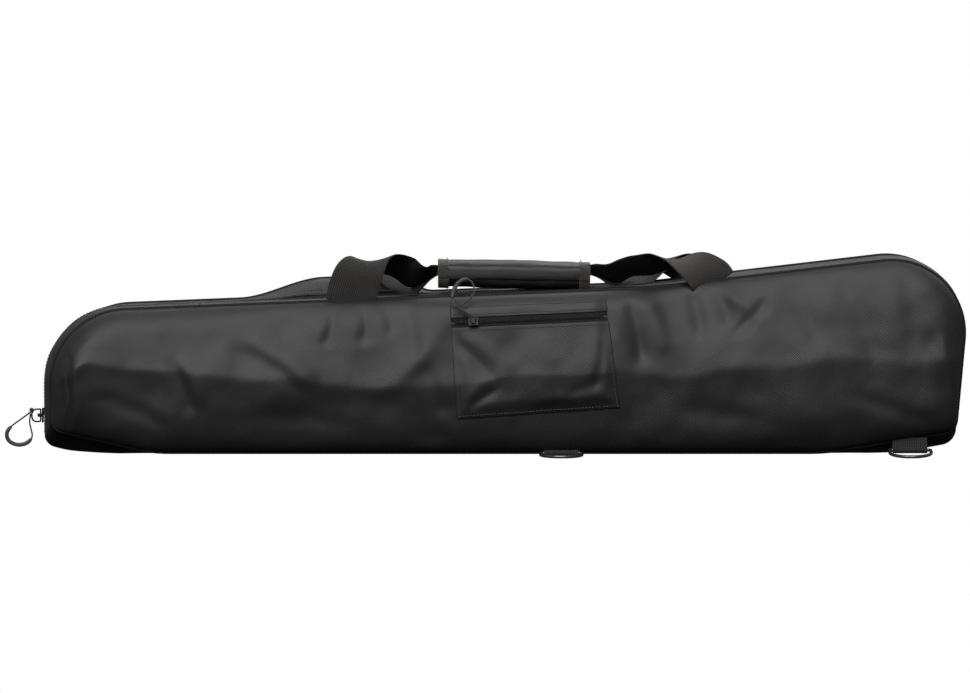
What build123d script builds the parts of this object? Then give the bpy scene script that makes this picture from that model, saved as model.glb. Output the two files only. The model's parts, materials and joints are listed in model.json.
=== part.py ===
from build123d import *

import os
from math import cos, hypot, radians, sin, tan

# Frame: +X to the wide end, the front faces -Y, +Z up. The bag stands on its bottom
# gusset at Z = 0. Millimetres throughout.

# ---------------------------------------------------------------- driving dimensions

# Side outline, anticlockwise seen from the front. Each corner has its place, its corner
# radius, and how far the gusset bulges outwards over the edge that starts there.
OUTLINE = [
    (-441, 26, 12, 20),
    (-345, 4, 160, 4),
    (308, 4, 200, 15),
    (433, 24, 14, 3),
    (449, 199, 70, 1),
    (133, 162, 400, 1),
    (-441, 139, 66, 10),
]
SMALLEST_RADIUS = 2.0

# Limits of the blocks that cut the shell into zones.
ALL_X = (-600.0, 600.0)
INSIDE_Y = (-60.0, 60.0)
UNDER_Z = -20.0
TOP_ZONE_Z = 100.0
OVER_Z = 300.0

SEAM_Y = 61.5  # piping centre, from the middle plane
PIPING_RADIUS = 2.0
PANEL_Y = SEAM_Y + PIPING_RADIUS + 0.05
GUSSET_Y = SEAM_Y - PIPING_RADIUS - 0.05

# Padded side panel: (distance inwards from the outline, height over the seam plane).
PANEL_BACK = 12.0  # the panel's solid is closed this far behind the seam
PANEL_PROFILE = [(0, 0), (5, 7.5), (14, 15), (36, 22.5), (54, 25)]
PROFILE_LEAN = 0.6  # inward share of the step from one layer of the panel to the next
PANEL_LAYERS = {"panel": (0.0, 1.0), "foam": (1.1, 7.0), "lining": (7.1, 7.8)}
THROUGH_PANEL = 80.0  # depth of a prism that cuts right through the panel and the pocket

# Gusset bulge: share of each edge's bulge, by distance from the middle plane.
GUSSET_SECTIONS = [(-GUSSET_Y, 0.0), (-36, 0.7), (-12, 1.0), (12, 1.0), (36, 0.7), (GUSSET_Y, 0.0)]
GUSSET_THICKNESS = 1.2
PADDING = (1.3, 6.3)
PADDING_X = (-380.0, 380.0)
PADDING_Y = (-55.0, 55.0)
PADDING_TOP_Z = 20.0
ZIP_SLOT_HALF = 8.0  # the gusset strips end this far from the middle plane
TAPE = (1.3, 2.1)
TAPE_HALF_SPAN = (2.9, 14.0)
TEETH = (-0.6, 2.5)
TEETH_HALF_SPAN = (0.6, 2.8)
ZIP_END_Z = 27.5
ZIP_TAIL_X = 190.0
MOUTH_X = (-290.0, 105.0)
MOUTH_GAP = 2.5
CUT_GAP = 0.3

# Main zip slider, on the straight part of the narrow end.
END_X = -451.0  # outer face of the gusset at the middle of the narrow end
SLIDER_Z = 36.0
SLIDER_LENGTH = 14.0
SLIDER_WIDTH = 12.0
SLIDER_PLATE = 1.4
SLIDER_POST = 0.8
SLIDER_OUT = 0.9  # the outer plate stands this far off the gusset
SLIDER_IN = 2.8  # and the inner plate this far inside it
CROWN = (4.4, 7.2, 3.0)  # reach, width and height of the bridge that holds the pull
CROWN_WALL = 1.5
CROWN_HOLE_WIDTH = 4.2
PIN_REACH = 1.4  # from the outer plate to the middle of the pull's wire
RING_WIRE = 0.8  # radius of the wire of the pull's D
RING_HALF_HEIGHT = 6.0
RING_REACH = 11.0
RING_TURN = 42.0  # degrees towards the front at rest
CORD_RADIUS = 0.8
GRIP_RADIUS = 2.0
GRIP_BORE = 1.0
KNOT_CENTRE = (-463.0, -8.4, 41.6)
KNOT_RADIUS = 2.3

# Route of the main pull's cord: from the knot down to the grip, round it, and back.
MAIN_CORD = [
    (-463.5, -8.4, 40.0),
    (-472.0, -9.0, 33.5),
    (-481.0, -9.4, 27.5),
    (-487.8, -9.6, 20.5),
    (-486.4, -9.6, 11.6),
    (-477.5, -9.4, 7.2),
    (-468.0, -9.2, 8.6),
    (-461.8, -9.0, 15.0),
    (-463.6, -8.8, 23.0),
    (-465.6, -8.6, 31.0),
    (-463.9, -8.4, 38.4),
]
MAIN_GRIP_RUNS = (3, 7)  # the grip begins and ends in the middle of these runs
CORD_BEND_SHARE = 0.45  # share of the shorter run that an arc of the cord may take

# Pocket, on the front panel.
POCKET_LEFT = (-56, -49, 37.0)  # top x, bottom x, bottom z
POCKET_RIGHT = (95, 109, 48.0)
POCKET_TOP_INSET = 6.0  # the pocket's top edge, below the top seam
POCKET_DEPTH = 5.6
POCKET_CLOTH = 1.0
POCKET_HEM = 1.2
POCKET_ZIP_INSET = 24.0  # zip line, below the top seam
POCKET_ZIP_SPAN = (-50.0, 88.0)
POCKET_STAYS_BEYOND = (-54.0, 92.0)  # the stays close the zip's opening outside these
POCKET_TAPE = 0.8
POCKET_TAPE_TRIM = 1.6
POCKET_COIL_LIFT = 1.0
POCKET_GAP = 0.1
POCKET_TAPE_HALF = 8.0
POCKET_COIL_HALF = 2.2
POCKET_SLIDER_X = -33.0
POCKET_SLIDER = (9.5, 8.0, 1.4)
POCKET_SLIDER_HEIGHT = 1.9  # of its middle over the zip
POCKET_CROWN = (3.0, 5.0, 2.8)
POCKET_CROWN_HEIGHT = 4.0
POCKET_CROWN_HOLE = (4.0, 2.6, 1.6)
POCKET_PIN_HEIGHT = 3.6
PULL_TAB_END = Vector(-50.0, -90.0, 145.0)
PULL_TAB_HALF_THICKNESS = 0.5
PULL_EYE = (6.2, 4.4)
PULL_EYE_HOLE = (3.8, 4.0)
PULL_PIN_RADIUS = 0.6

# Route of the pocket pull's cord: up from the tab, round, and back.
POCKET_CORD = [
    (-51.0, -89.7, 146.0),
    (-53.6, -86.0, 152.4),
    (-52.0, -80.3, 162.8),
    (-45.5, -75.8, 171.0),
    (-37.5, -75.0, 172.4),
    (-32.0, -78.4, 166.2),
    (-32.6, -83.4, 157.2),
    (-39.2, -87.4, 149.9),
    (-46.6, -89.6, 146.2),
]
POCKET_GRIP_RUNS = (2, 5)

# Handles.
WRAP_SPAN = (-67.0, 80.0)
WRAP_Z = 174.6
WRAP_HALF_WIDTH = 27.0
WRAP_HALF_HEIGHT = 11.8
WRAP_THICKNESS = 3.4
WRAP_SPLIT_Z = 177.5
LIP_BOTTOM_Z = 170.0
LIP_REACH_Z = 5.0  # the lip and its joint reach this far over the split
LIP_Y = (-60.0, -10.0)
LIP_SHELL = (2.9, 1.5)
JOINT_SHELL = (1.6, -0.1)
LOOP_STRIP_SHELL = (0.68, 0.03)
HOOK_STRIP_SHELL = (1.48, 0.73)
STRIP_END_INSET = 8.0
WEBBING = 1.6
GRIP_WEBBING_WIDTH = 42.0
GRIP_WEBBING_X = (-66.0, 79.0)
GRIP_WEBBING_Z = WRAP_Z + 1.05
BACK_DROP = 2.1  # the back handle lies this far under the front one in the wrap
BACK_APEX_DROP = 8.0
LEG_BEND = 9.0
LEG_WIDTH = 32.0
LEG_END_DROP = 5.5
LEG_RISE_SHARE = 0.08  # a leg reaches its fold within this share of its way to the wrap
LEG_CREST_SHARE = 0.45
LEG_CREST_RISE = 2.0

# Legs of the front handle: foot at the seam, end at the wrap, height of the fold.
LEGS = {
    "narrow": ((-148, -58, 160.5), (-81, 0, GRIP_WEBBING_Z + 1), 189.0),
    "wide": ((196, -58, 180.0), (94, 0, GRIP_WEBBING_Z + 1), 196.0),
}

# D-rings and their tabs on the front bottom seam: (x, height of the ring's straight bar).
D_RINGS = {"middle": (52.0, 3.4), "wide_end": (389.0, 6.4)}
D_WIRE = 1.6
D_HALF_WIDTH = 20.0
D_REACH = 30.0
D_BAR_Y = -68.5
TAB_HALF_WIDTH = 17.0
TAB_CLOTH = 1.2
TAB_BORE = 1.75
TAB_TAIL_Y = -57.0
RING_FLOOR_GAP = 0.2  # the ring's bow stays this far off the ground
BOW_SHARE = 0.9  # radius of a D's bow, as a share of its half height
BAR_BEND = 1.6  # radius at the ends of its bar, in wire radii


# ---------------------------------------------------------------- outline and shells


def moved_corners(grow, bulge):
    """Corners of the outline with each edge moved outwards by grow and its share of bulge."""
    count = len(OUTLINE)
    lines = []
    for i in range(count):
        x0, z0, _, edge_bulge = OUTLINE[i]
        x1, z1 = OUTLINE[(i + 1) % count][:2]
        length = hypot(x1 - x0, z1 - z0)
        normal = ((z1 - z0) / length, -(x1 - x0) / length)
        reach = normal[0] * x0 + normal[1] * z0 + grow + bulge * edge_bulge
        lines.append((normal, reach))
    corners = []
    for i in range(count):
        (ax, az), ac = lines[i - 1]
        (bx, bz), bc = lines[i]
        det = ax * bz - az * bx
        corners.append(((ac * bz - az * bc) / det, (ax * bc - ac * bx) / det))
    return corners


def rounded_edges(points, radii):
    """Closed chain of straight edges and tangent arcs through the given corners."""
    count = len(points)
    ends = []
    for i in range(count):
        before, here, after = (Vector(*points[j % count]) for j in (i - 1, i, i + 1))
        back, ahead = (before - here).normalized(), (after - here).normalized()
        half_turn = radians(180 - back.get_angle(ahead)) / 2
        reach = radii[i] * tan(half_turn)
        middle = here + (back + ahead).normalized() * radii[i] * (1 / cos(half_turn) - 1)
        ends.append((here + back * reach, middle, here + ahead * reach))
    edges = []
    for i in range(count):
        edges.append(Edge.make_three_point_arc(*ends[i]))
        edges.append(Edge.make_line(ends[i][2], ends[(i + 1) % count][0]))
    return edges


def outline_wire(y, grow=0.0, bulge=0.0):
    radii = [max(corner[2] + grow, SMALLEST_RADIUS) for corner in OUTLINE]
    flat = Wire(rounded_edges(moved_corners(grow, bulge), radii))
    return Plane.XZ.offset(-y) * flat


def pillow(shift):
    """Solid inside the front panel's surface moved outwards by shift, closed behind the seam."""
    sections = [Face(outline_wire(-SEAM_Y + PANEL_BACK, PROFILE_LEAN * shift))]
    for inset, height in PANEL_PROFILE:
        sections.append(Face(outline_wire(-PANEL_Y - height - shift, PROFILE_LEAN * shift - inset)))
    return loft(sections, ruled=True)


def block(x, y, z):
    """Box between two limits along each axis."""
    size = (x[1] - x[0], y[1] - y[0], z[1] - z[0])
    return Pos((x[0] + x[1]) / 2, (y[0] + y[1]) / 2, (z[0] + z[1]) / 2) * Box(*size)


def panel_layer(outer, inner):
    front_of_seam = block(ALL_X, (-PANEL_Y - THROUGH_PANEL, -PANEL_Y), (UNDER_Z, OVER_Z))
    return (pillow(-outer) - pillow(-inner)) & front_of_seam


def gusset_solid(depth):
    """Solid inside the gusset's surface moved inwards by depth, from seam to seam."""
    sections = [Face(outline_wire(y, -depth, share)) for y, share in GUSSET_SECTIONS]
    return loft(sections, ruled=True)


def gusset_layer(outer, inner):
    return gusset_solid(outer) - gusset_solid(inner)


def top_z(x):
    """Height of the straight top seam at x."""
    x0, z0 = OUTLINE[6][:2]
    x1, z1 = OUTLINE[5][:2]
    return z0 + (z1 - z0) * (x - x0) / (x1 - x0)


# ---------------------------------------------------------------- pieces of the shell


def side_panels():
    parts = {}
    for layer, (outer, inner) in PANEL_LAYERS.items():
        front = panel_layer(outer, inner)
        parts["front_" + layer] = front
        parts["back_" + layer] = mirror(front, about=Plane.XZ)
    return parts


def piping(y):
    path = outline_wire(y)
    start = path.edges()[0]
    profile = Plane(origin=start @ 0, z_dir=start % 0) * Circle(PIPING_RADIUS)
    return sweep(profile, path=path)


def gusset_strips():
    """Bottom and wide-end strips, and the bottom padding."""
    skin = gusset_layer(0, GUSSET_THICKNESS)
    low = block(ALL_X, INSIDE_Y, (UNDER_Z, ZIP_END_Z - CUT_GAP))
    wide = block((ZIP_TAIL_X + CUT_GAP, ALL_X[1]), INSIDE_Y, (ZIP_END_Z, OVER_Z))
    padded = block(PADDING_X, PADDING_Y, (UNDER_Z, PADDING_TOP_Z))
    return {
        "bottom_gusset": skin & low,
        "wide_end_gusset": skin & wide,
        "bottom_padding": gusset_layer(*PADDING) & padded,
    }


def zip_zones():
    """Where the zip can open as a mouth, and where it stays as it is sewn."""
    mouth = block(MOUTH_X, INSIDE_Y, (TOP_ZONE_Z, OVER_Z))
    corner = block((ALL_X[0], MOUTH_X[0] - MOUTH_GAP), INSIDE_Y, (ZIP_END_Z, OVER_Z))
    tail = block((MOUTH_X[1] + MOUTH_GAP, ZIP_TAIL_X), INSIDE_Y, (TOP_ZONE_Z, OVER_Z))
    return {"mouth": mouth, "zip": corner + tail}


def main_zip():
    """Gusset strip, tape and teeth on each side of the main zip, in each zone."""
    layers = {
        "gusset": (gusset_layer(0, GUSSET_THICKNESS), (ZIP_SLOT_HALF, INSIDE_Y[1])),
        "tape": (gusset_layer(*TAPE), TAPE_HALF_SPAN),
        "teeth": (gusset_layer(*TEETH), TEETH_HALF_SPAN),
    }
    parts = {}
    for zone, space in zip_zones().items():
        for layer, (shell, (near, far)) in layers.items():
            zoned = shell & space
            for side, sign in (("front", -1), ("back", 1)):
                span = sorted((sign * near, sign * far))
                parts[f"{zone}_{layer}_{side}"] = zoned & block(ALL_X, span, (0, OVER_Z))
    return parts


# ---------------------------------------------------------------- main slider and pull


def main_slider():
    outer = END_X - SLIDER_OUT
    inner = END_X + SLIDER_IN
    half, width = SLIDER_LENGTH / 2, SLIDER_WIDTH / 2
    length = (SLIDER_Z - half, SLIDER_Z + half)
    body = block((outer - SLIDER_PLATE, outer), (-width, width), length)
    body += block((inner, inner + SLIDER_PLATE), (-width, width), length)
    body += block((outer, inner), (-SLIDER_POST / 2, SLIDER_POST / 2), (SLIDER_Z, length[1]))
    reach, width, height = CROWN
    foot = outer - SLIDER_PLATE
    middle, hole = (SLIDER_Z - height / 2, SLIDER_Z + height / 2), CROWN_HOLE_WIDTH / 2
    crown = block((foot - reach, foot), (-width / 2, width / 2), middle)
    crown -= block((foot - reach + CROWN_WALL, foot), (-hole, hole), length)
    return body + crown


def ring_plane():
    """Plane of the pull's wire: its x runs out from the crown, its y runs up."""
    angle = radians(RING_TURN)
    outwards = Vector(-cos(angle), -sin(angle), 0)
    pin_x = END_X - SLIDER_OUT - SLIDER_PLATE - PIN_REACH
    return Plane(origin=(pin_x, 0, SLIDER_Z), x_dir=outwards, z_dir=outwards.cross(Vector(0, 0, 1)))


def wire_d(plane, half_height, reach, wire):
    """Closed D of round wire: straight bar on the plane's y axis, bow towards its x."""
    corner = half_height * BOW_SHARE
    points = [(0, -half_height), (reach, -half_height), (reach, half_height), (0, half_height)]
    radii = [wire * BAR_BEND, corner, corner, wire * BAR_BEND]
    path = plane * Wire(rounded_edges(points, radii))
    start = path.edges()[0]
    profile = Plane(origin=start @ 0, z_dir=start % 0) * Circle(wire)
    return sweep(profile, path=path)


def corner_radii(points):
    """Radius of each arc of a cord's route, as large as the two runs beside it allow."""
    radii = []
    for before, here, after in zip(points, points[1:], points[2:]):
        back, ahead = Vector(*before) - Vector(*here), Vector(*after) - Vector(*here)
        half_turn = radians(180 - back.get_angle(ahead)) / 2
        radii.append(CORD_BEND_SHARE * min(back.length, ahead.length) / tan(half_turn))
    return radii


def tube(points, radii, radius, bore=0.0):
    """Round tube along straight runs joined by arcs."""
    path = FilletPolyline(*points, radius=radii)
    start = Plane(origin=path @ 0, z_dir=path % 0)
    profile = start * Circle(radius)
    if bore:
        profile -= start * Circle(bore)
    solid = sweep(profile, path=path)
    share = solid.volume / (profile.area * path.length)
    print("cord radii", [round(arc, 1) for arc in radii], "volume share", round(share, 3))
    return solid


def midway(a, b):
    return tuple((p + q) / 2 for p, q in zip(a, b))


def cord(route):
    return tube(route, corner_radii(route), CORD_RADIUS)


def grip(route, runs):
    """Moulded sleeve on a cord, from the middle of one of its runs to the middle of another."""
    first, last = runs
    points = [midway(route[first - 1], route[first])] + route[first:last]
    points.append(midway(route[last - 1], route[last]))
    return tube(points, corner_radii(route)[first - 1 : last - 1], GRIP_RADIUS, GRIP_BORE)


def main_pull():
    plane = ring_plane()
    ring = wire_d(plane, RING_HALF_HEIGHT, RING_REACH, RING_WIRE)
    knot = Pos(*KNOT_CENTRE) * Sphere(KNOT_RADIUS)
    return {
        "main_zip_pull_ring": ring,
        "main_zip_cord_knot": knot - ring,
        "main_zip_cord": cord(MAIN_CORD) - knot,
        "main_zip_grip": grip(MAIN_CORD, MAIN_GRIP_RUNS),
    }


# ---------------------------------------------------------------- pocket


def pocket_prism(trim):
    """Pocket outline, pushed through the front panel, drawn in by trim on every side."""
    top_left, bottom_left, left_bottom_z = POCKET_LEFT
    top_right, bottom_right, right_bottom_z = POCKET_RIGHT
    corners = [
        (bottom_left + trim, left_bottom_z + trim),
        (bottom_right - trim, right_bottom_z + trim),
        (top_right - trim, top_z(top_right) - POCKET_TOP_INSET - trim),
        (top_left + trim, top_z(top_left) - POCKET_TOP_INSET - trim),
    ]
    face = Plane.XZ.offset(SEAM_Y) * make_face(Polyline(*corners, close=True))
    return extrude(face, THROUGH_PANEL)


def zip_band(low, high, ends=ALL_X):
    """Slanted slab of the front panel between two distances below the top seam."""
    left, right = ends
    corners = [
        (left, top_z(left) - high),
        (right, top_z(right) - high),
        (right, top_z(right) - low),
        (left, top_z(left) - low),
    ]
    face = Plane.XZ.offset(SEAM_Y) * make_face(Polyline(*corners, close=True))
    return extrude(face, THROUGH_PANEL)


def pocket():
    skin = POCKET_DEPTH - POCKET_CLOTH
    hollow = (pillow(skin) & pocket_prism(POCKET_HEM)) - pillow(0)
    patch = (pillow(POCKET_DEPTH) & pocket_prism(0)) - pillow(POCKET_GAP) - hollow
    near, far = POCKET_ZIP_INSET - POCKET_TAPE_HALF, POCKET_ZIP_INSET + POCKET_TAPE_HALF
    low, high = POCKET_ZIP_INSET - POCKET_COIL_HALF, POCKET_ZIP_INSET + POCKET_COIL_HALF
    tape = pillow(POCKET_DEPTH) - pillow(POCKET_DEPTH - POCKET_TAPE)
    tape = tape & pocket_prism(POCKET_TAPE_TRIM)
    coil = pillow(POCKET_DEPTH + POCKET_COIL_LIFT) - pillow(POCKET_DEPTH - POCKET_COIL_LIFT)
    gap = POCKET_GAP
    opening = zip_band(0, far, POCKET_STAYS_BEYOND)
    return {
        "pocket_patch": patch & zip_band(far, THROUGH_PANEL * 2),
        "pocket_top_strip": patch & zip_band(0, near),
        "pocket_end_stays": patch & zip_band(near + gap, far - gap) - opening,
        "pocket_zip_tape_upper": tape & zip_band(near + gap, low - gap, POCKET_ZIP_SPAN),
        "pocket_zip_tape_lower": tape & zip_band(high + gap, far - gap, POCKET_ZIP_SPAN),
        "pocket_zip_coil": coil & zip_band(low, high, POCKET_ZIP_SPAN),
    }


def pocket_zip_plane(x):
    """Plane on the pocket's zip at x: its x runs along the zip, its z points outwards."""
    along = Vector(1, 0, top_z(1) - top_z(0)).normalized()
    (inset_a, high_a), (inset_b, high_b) = PANEL_PROFILE[2:4]
    share = (POCKET_ZIP_INSET + PROFILE_LEAN * POCKET_DEPTH - inset_a) / (inset_b - inset_a)
    y = -PANEL_Y - high_a - share * (high_b - high_a) - POCKET_DEPTH
    down = Vector(0, -(high_b - high_a), -(inset_b - inset_a)).normalized()
    outwards = down.cross(along)
    if outwards.Y > 0:
        outwards = -outwards
    origin = Vector(x, y, top_z(x) - POCKET_ZIP_INSET)
    return Plane(origin=origin, x_dir=along, z_dir=outwards)


def pocket_slider():
    plane = pocket_zip_plane(POCKET_SLIDER_X)
    body = plane * (Pos(0, 0, POCKET_SLIDER_HEIGHT) * Box(*POCKET_SLIDER))
    crown = plane * (Pos(0, 0, POCKET_CROWN_HEIGHT) * Box(*POCKET_CROWN))
    crown -= plane * (Pos(0, 0, POCKET_PIN_HEIGHT) * Box(*POCKET_CROWN_HOLE))
    return body + crown


def pocket_pull():
    """Flat tab on a wire eye through the crown, with its cord and grip."""
    zip_plane = pocket_zip_plane(POCKET_SLIDER_X)
    pin = zip_plane.from_local_coords(Vector(0, 0, POCKET_PIN_HEIGHT))
    side = zip_plane.x_dir
    reach = PULL_TAB_END - pin
    up = (reach - side * reach.dot(side)).normalized()
    plane = Plane(origin=pin, x_dir=side, z_dir=side.cross(up))
    slant, rise = reach.dot(side), reach.dot(up)
    eye_width, eye_height = PULL_EYE
    eye = Pos(0, eye_height / 2) * Rectangle(*PULL_EYE) - Pos(0, 1.2) * Rectangle(*PULL_EYE_HOLE)
    tab = [(-3.0, 3.6), (1.4, 3.6), (slant + 3.0, rise), (slant - 1.2, rise)]
    flat = plane * (eye + make_face(Polyline(*tab, close=True)))
    body = extrude(flat, PULL_TAB_HALF_THICKNESS, both=True)
    pin_plane = Plane(origin=pin - side * (eye_width / 2), z_dir=side)
    body += Solid.make_cylinder(PULL_PIN_RADIUS, eye_width, pin_plane)
    return {
        "pocket_pull_tab": body,
        "pocket_cord": cord(POCKET_CORD),
        "pocket_grip": grip(POCKET_CORD, POCKET_GRIP_RUNS),
    }


# ---------------------------------------------------------------- handles


def leg(foot, end, apex):
    """Webbing that rises from its foot at the seam, folds over and comes down to the wrap."""
    ahead = Vector(end[0] - foot[0], end[1] - foot[1], 0)
    reach = ahead.length
    plane = Plane(origin=(foot[0], foot[1], 0), x_dir=ahead, z_dir=ahead.cross(Vector(0, 0, 1)))
    rise = (LEG_RISE_SHARE * reach, apex - LEG_CREST_RISE)
    route = [(0, foot[2]), rise, (LEG_CREST_SHARE * reach, apex), (reach, end[2])]
    strip = trace(FilletPolyline(*route, radius=LEG_BEND), line_width=WEBBING)
    return extrude(plane * strip, LEG_WIDTH / 2, both=True)


def handles():
    parts = {}
    for name, (foot, end, apex) in LEGS.items():
        parts[f"handle_front_{name}_leg"] = leg(foot, end, apex)
        back_foot = (foot[0], -foot[1], foot[2])
        back_end = (end[0], end[1], end[2] - LEG_END_DROP)
        parts[f"handle_back_{name}_leg"] = leg(back_foot, back_end, apex - BACK_APEX_DROP)
    half = GRIP_WEBBING_WIDTH / 2
    heights = {"front": GRIP_WEBBING_Z, "back": GRIP_WEBBING_Z - BACK_DROP}
    for side, middle in heights.items():
        thickness = (middle - WEBBING / 2, middle + WEBBING / 2)
        parts[f"handle_{side}_grip_webbing"] = block(GRIP_WEBBING_X, (-half, half), thickness)
    return parts


def wrap_shell(outer, inner, span=WRAP_SPAN):
    """Oval sleeve between two distances outside the wrap's surface."""
    plane = Plane.YZ.offset(span[0])
    length = span[1] - span[0]
    shell = []
    for grow in (outer, inner):
        oval = Ellipse(WRAP_HALF_WIDTH + grow, WRAP_HALF_HEIGHT + grow)
        shell.append(extrude(plane * (Pos(0, WRAP_Z) * oval), length))
    return shell[0] - shell[1]


def wrap():
    """Padded wrap: a fixed lower half, and an upper flap that closes over its front."""
    sleeve = wrap_shell(0, -WRAP_THICKNESS)
    above = block(ALL_X, INSIDE_Y, (WRAP_SPLIT_Z + CUT_GAP, OVER_Z))
    below = block(ALL_X, INSIDE_Y, (TOP_ZONE_Z, WRAP_SPLIT_Z))
    overlap = block(ALL_X, LIP_Y, (LIP_BOTTOM_Z, WRAP_SPLIT_Z + LIP_REACH_Z))
    inset = (WRAP_SPAN[0] + STRIP_END_INSET, WRAP_SPAN[1] - STRIP_END_INSET)
    lip = wrap_shell(*LIP_SHELL) & overlap
    joint = (wrap_shell(*JOINT_SHELL) & overlap) & above
    return {
        "handle_wrap": sleeve & below,
        "wrap_flap": (sleeve & above) + lip + joint,
        "wrap_loop_strip": wrap_shell(*LOOP_STRIP_SHELL, inset) & overlap & below,
        "wrap_hook_strip": wrap_shell(*HOOK_STRIP_SHELL, inset) & overlap & below,
    }


# ---------------------------------------------------------------- D-rings


def d_ring(x, bar_z):
    """D of wire that lies out on the ground in front of the seam."""
    fall = (bar_z - D_WIRE - RING_FLOOR_GAP) / D_REACH
    out = Vector(0, -cos(fall), -sin(fall))
    plane = Plane(origin=(x, D_BAR_Y, bar_z), x_dir=out, z_dir=out.cross(Vector(1, 0, 0)))
    return wire_d(plane, D_HALF_WIDTH, D_REACH, D_WIRE)


def d_ring_tab(x, bar_z):
    """Webbing loop round the ring's bar, with its tail under the seam."""
    outer = TAB_BORE + TAB_CLOTH
    low = bar_z - outer
    profile = Pos(D_BAR_Y, bar_z) * Circle(outer)
    high = low + TAB_CLOTH
    tail = [(D_BAR_Y, low), (TAB_TAIL_Y, low), (TAB_TAIL_Y, high), (D_BAR_Y, high)]
    profile += make_face(Polyline(*tail, close=True))
    profile -= Pos(D_BAR_Y, bar_z) * Circle(TAB_BORE)
    plane = Plane.YZ.offset(x - TAB_HALF_WIDTH)
    return extrude(plane * profile, 2 * TAB_HALF_WIDTH)


def d_rings():
    parts = {}
    for name, (x, bar_z) in D_RINGS.items():
        parts[f"d_ring_{name}"] = d_ring(x, bar_z)
        parts[f"d_ring_tab_{name}"] = d_ring_tab(x, bar_z)
    return parts


# ---------------------------------------------------------------- assembly


def bag():
    parts = {"front_piping": piping(-SEAM_Y), "back_piping": piping(SEAM_Y)}
    parts.update(side_panels())
    parts.update(gusset_strips())
    parts.update(main_zip())
    parts["main_zip_slider"] = main_slider()
    parts.update(main_pull())
    parts.update(pocket())
    parts["pocket_zip_slider"] = pocket_slider()
    parts.update(pocket_pull())
    parts.update(handles())
    parts.update(wrap())
    parts.update(d_rings())
    return parts


if __name__ == "__main__":
    os.makedirs("parts", exist_ok=True)
    for name, part in bag().items():
        export_step(part, f"parts/{name}.step")
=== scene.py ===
import json
from math import cos, hypot, pi, radians, sin, tan

import bpy
import numpy as np
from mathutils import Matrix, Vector, noise

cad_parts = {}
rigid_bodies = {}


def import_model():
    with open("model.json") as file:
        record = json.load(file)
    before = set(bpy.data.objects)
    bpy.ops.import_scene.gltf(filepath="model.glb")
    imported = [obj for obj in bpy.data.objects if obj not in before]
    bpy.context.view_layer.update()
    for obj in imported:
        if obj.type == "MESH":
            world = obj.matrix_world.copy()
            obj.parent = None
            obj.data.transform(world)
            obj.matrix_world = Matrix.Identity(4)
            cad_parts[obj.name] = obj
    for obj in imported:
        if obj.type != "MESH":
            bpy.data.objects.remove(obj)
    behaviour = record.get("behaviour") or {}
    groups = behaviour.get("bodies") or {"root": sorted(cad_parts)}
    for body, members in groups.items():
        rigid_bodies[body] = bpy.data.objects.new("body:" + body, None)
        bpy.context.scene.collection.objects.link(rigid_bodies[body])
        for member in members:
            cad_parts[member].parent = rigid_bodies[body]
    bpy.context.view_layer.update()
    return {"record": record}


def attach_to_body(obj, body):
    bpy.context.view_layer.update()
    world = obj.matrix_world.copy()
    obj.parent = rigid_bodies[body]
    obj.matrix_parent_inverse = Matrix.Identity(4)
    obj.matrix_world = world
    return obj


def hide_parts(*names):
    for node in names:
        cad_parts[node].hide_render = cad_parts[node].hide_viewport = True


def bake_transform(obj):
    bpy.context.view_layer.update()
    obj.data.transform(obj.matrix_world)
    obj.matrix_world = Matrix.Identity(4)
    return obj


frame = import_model()

MM = 0.001

# ------------------------------------------------------------------ the bag's dimensions, mm

# Side outline, anticlockwise seen from the front: corner, corner radius, and how far the
# gusset bulges outwards over the edge that starts there. The last corner is a little rounder
# than in the CAD, as the cloth there is.
OUTLINE = [
    (-441, 26, 12, 20),
    (-345, 4, 160, 4),
    (308, 4, 200, 15),
    (433, 24, 14, 3),
    (449, 199, 70, 1),
    (133, 162, 400, 1),
    (-441, 139, 74, 10),
]
SEAM_Y = 61.5
PIPING_RADIUS = 2.0
PANEL_Y = SEAM_Y + 1.4
GUSSET_Y = SEAM_Y - 1.0
LOOP_STEP = 3.5
ARC_POINTS = 5  # fewest samples on a corner
TOP_FROM_Z = 100.0  # the bottom seam lies under this height and the top seam over it

ZIP_END_Z = 27.5
ZIP_TAIL_X = 190.0
MOUTH_X = (-291.2, 106.2)
ZIP_SLOT_HALF = 7.0


# ------------------------------------------------------------------ outline


def moved_corners(grow, bulge):
    """Corners of the outline with each edge moved outwards by grow and its share of bulge."""
    lines = []
    for i, (x0, z0, _, edge_bulge) in enumerate(OUTLINE):
        x1, z1 = OUTLINE[(i + 1) % len(OUTLINE)][:2]
        length = hypot(x1 - x0, z1 - z0)
        normal = ((z1 - z0) / length, -(x1 - x0) / length)
        lines.append((normal, normal[0] * x0 + normal[1] * z0 + grow + bulge * edge_bulge))
    corners = []
    for i in range(len(OUTLINE)):
        (ax, az), ac = lines[i - 1]
        (bx, bz), bc = lines[i]
        det = ax * bz - az * bx
        corners.append(np.array([(ac * bz - az * bc) / det, (ax * bc - ac * bx) / det]))
    return corners


def corner_arc(before, here, after, radius):
    """Start, centre and turn of the arc that rounds one corner."""
    back = (before - here) / np.linalg.norm(before - here)
    ahead = (after - here) / np.linalg.norm(after - here)
    half_turn = (pi - np.arccos(np.clip(back @ ahead, -1, 1))) / 2
    middle = (back + ahead) / np.linalg.norm(back + ahead)
    centre = here + middle * radius / cos(half_turn)
    return here + back * radius * tan(half_turn), centre, here + ahead * radius * tan(half_turn)


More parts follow.
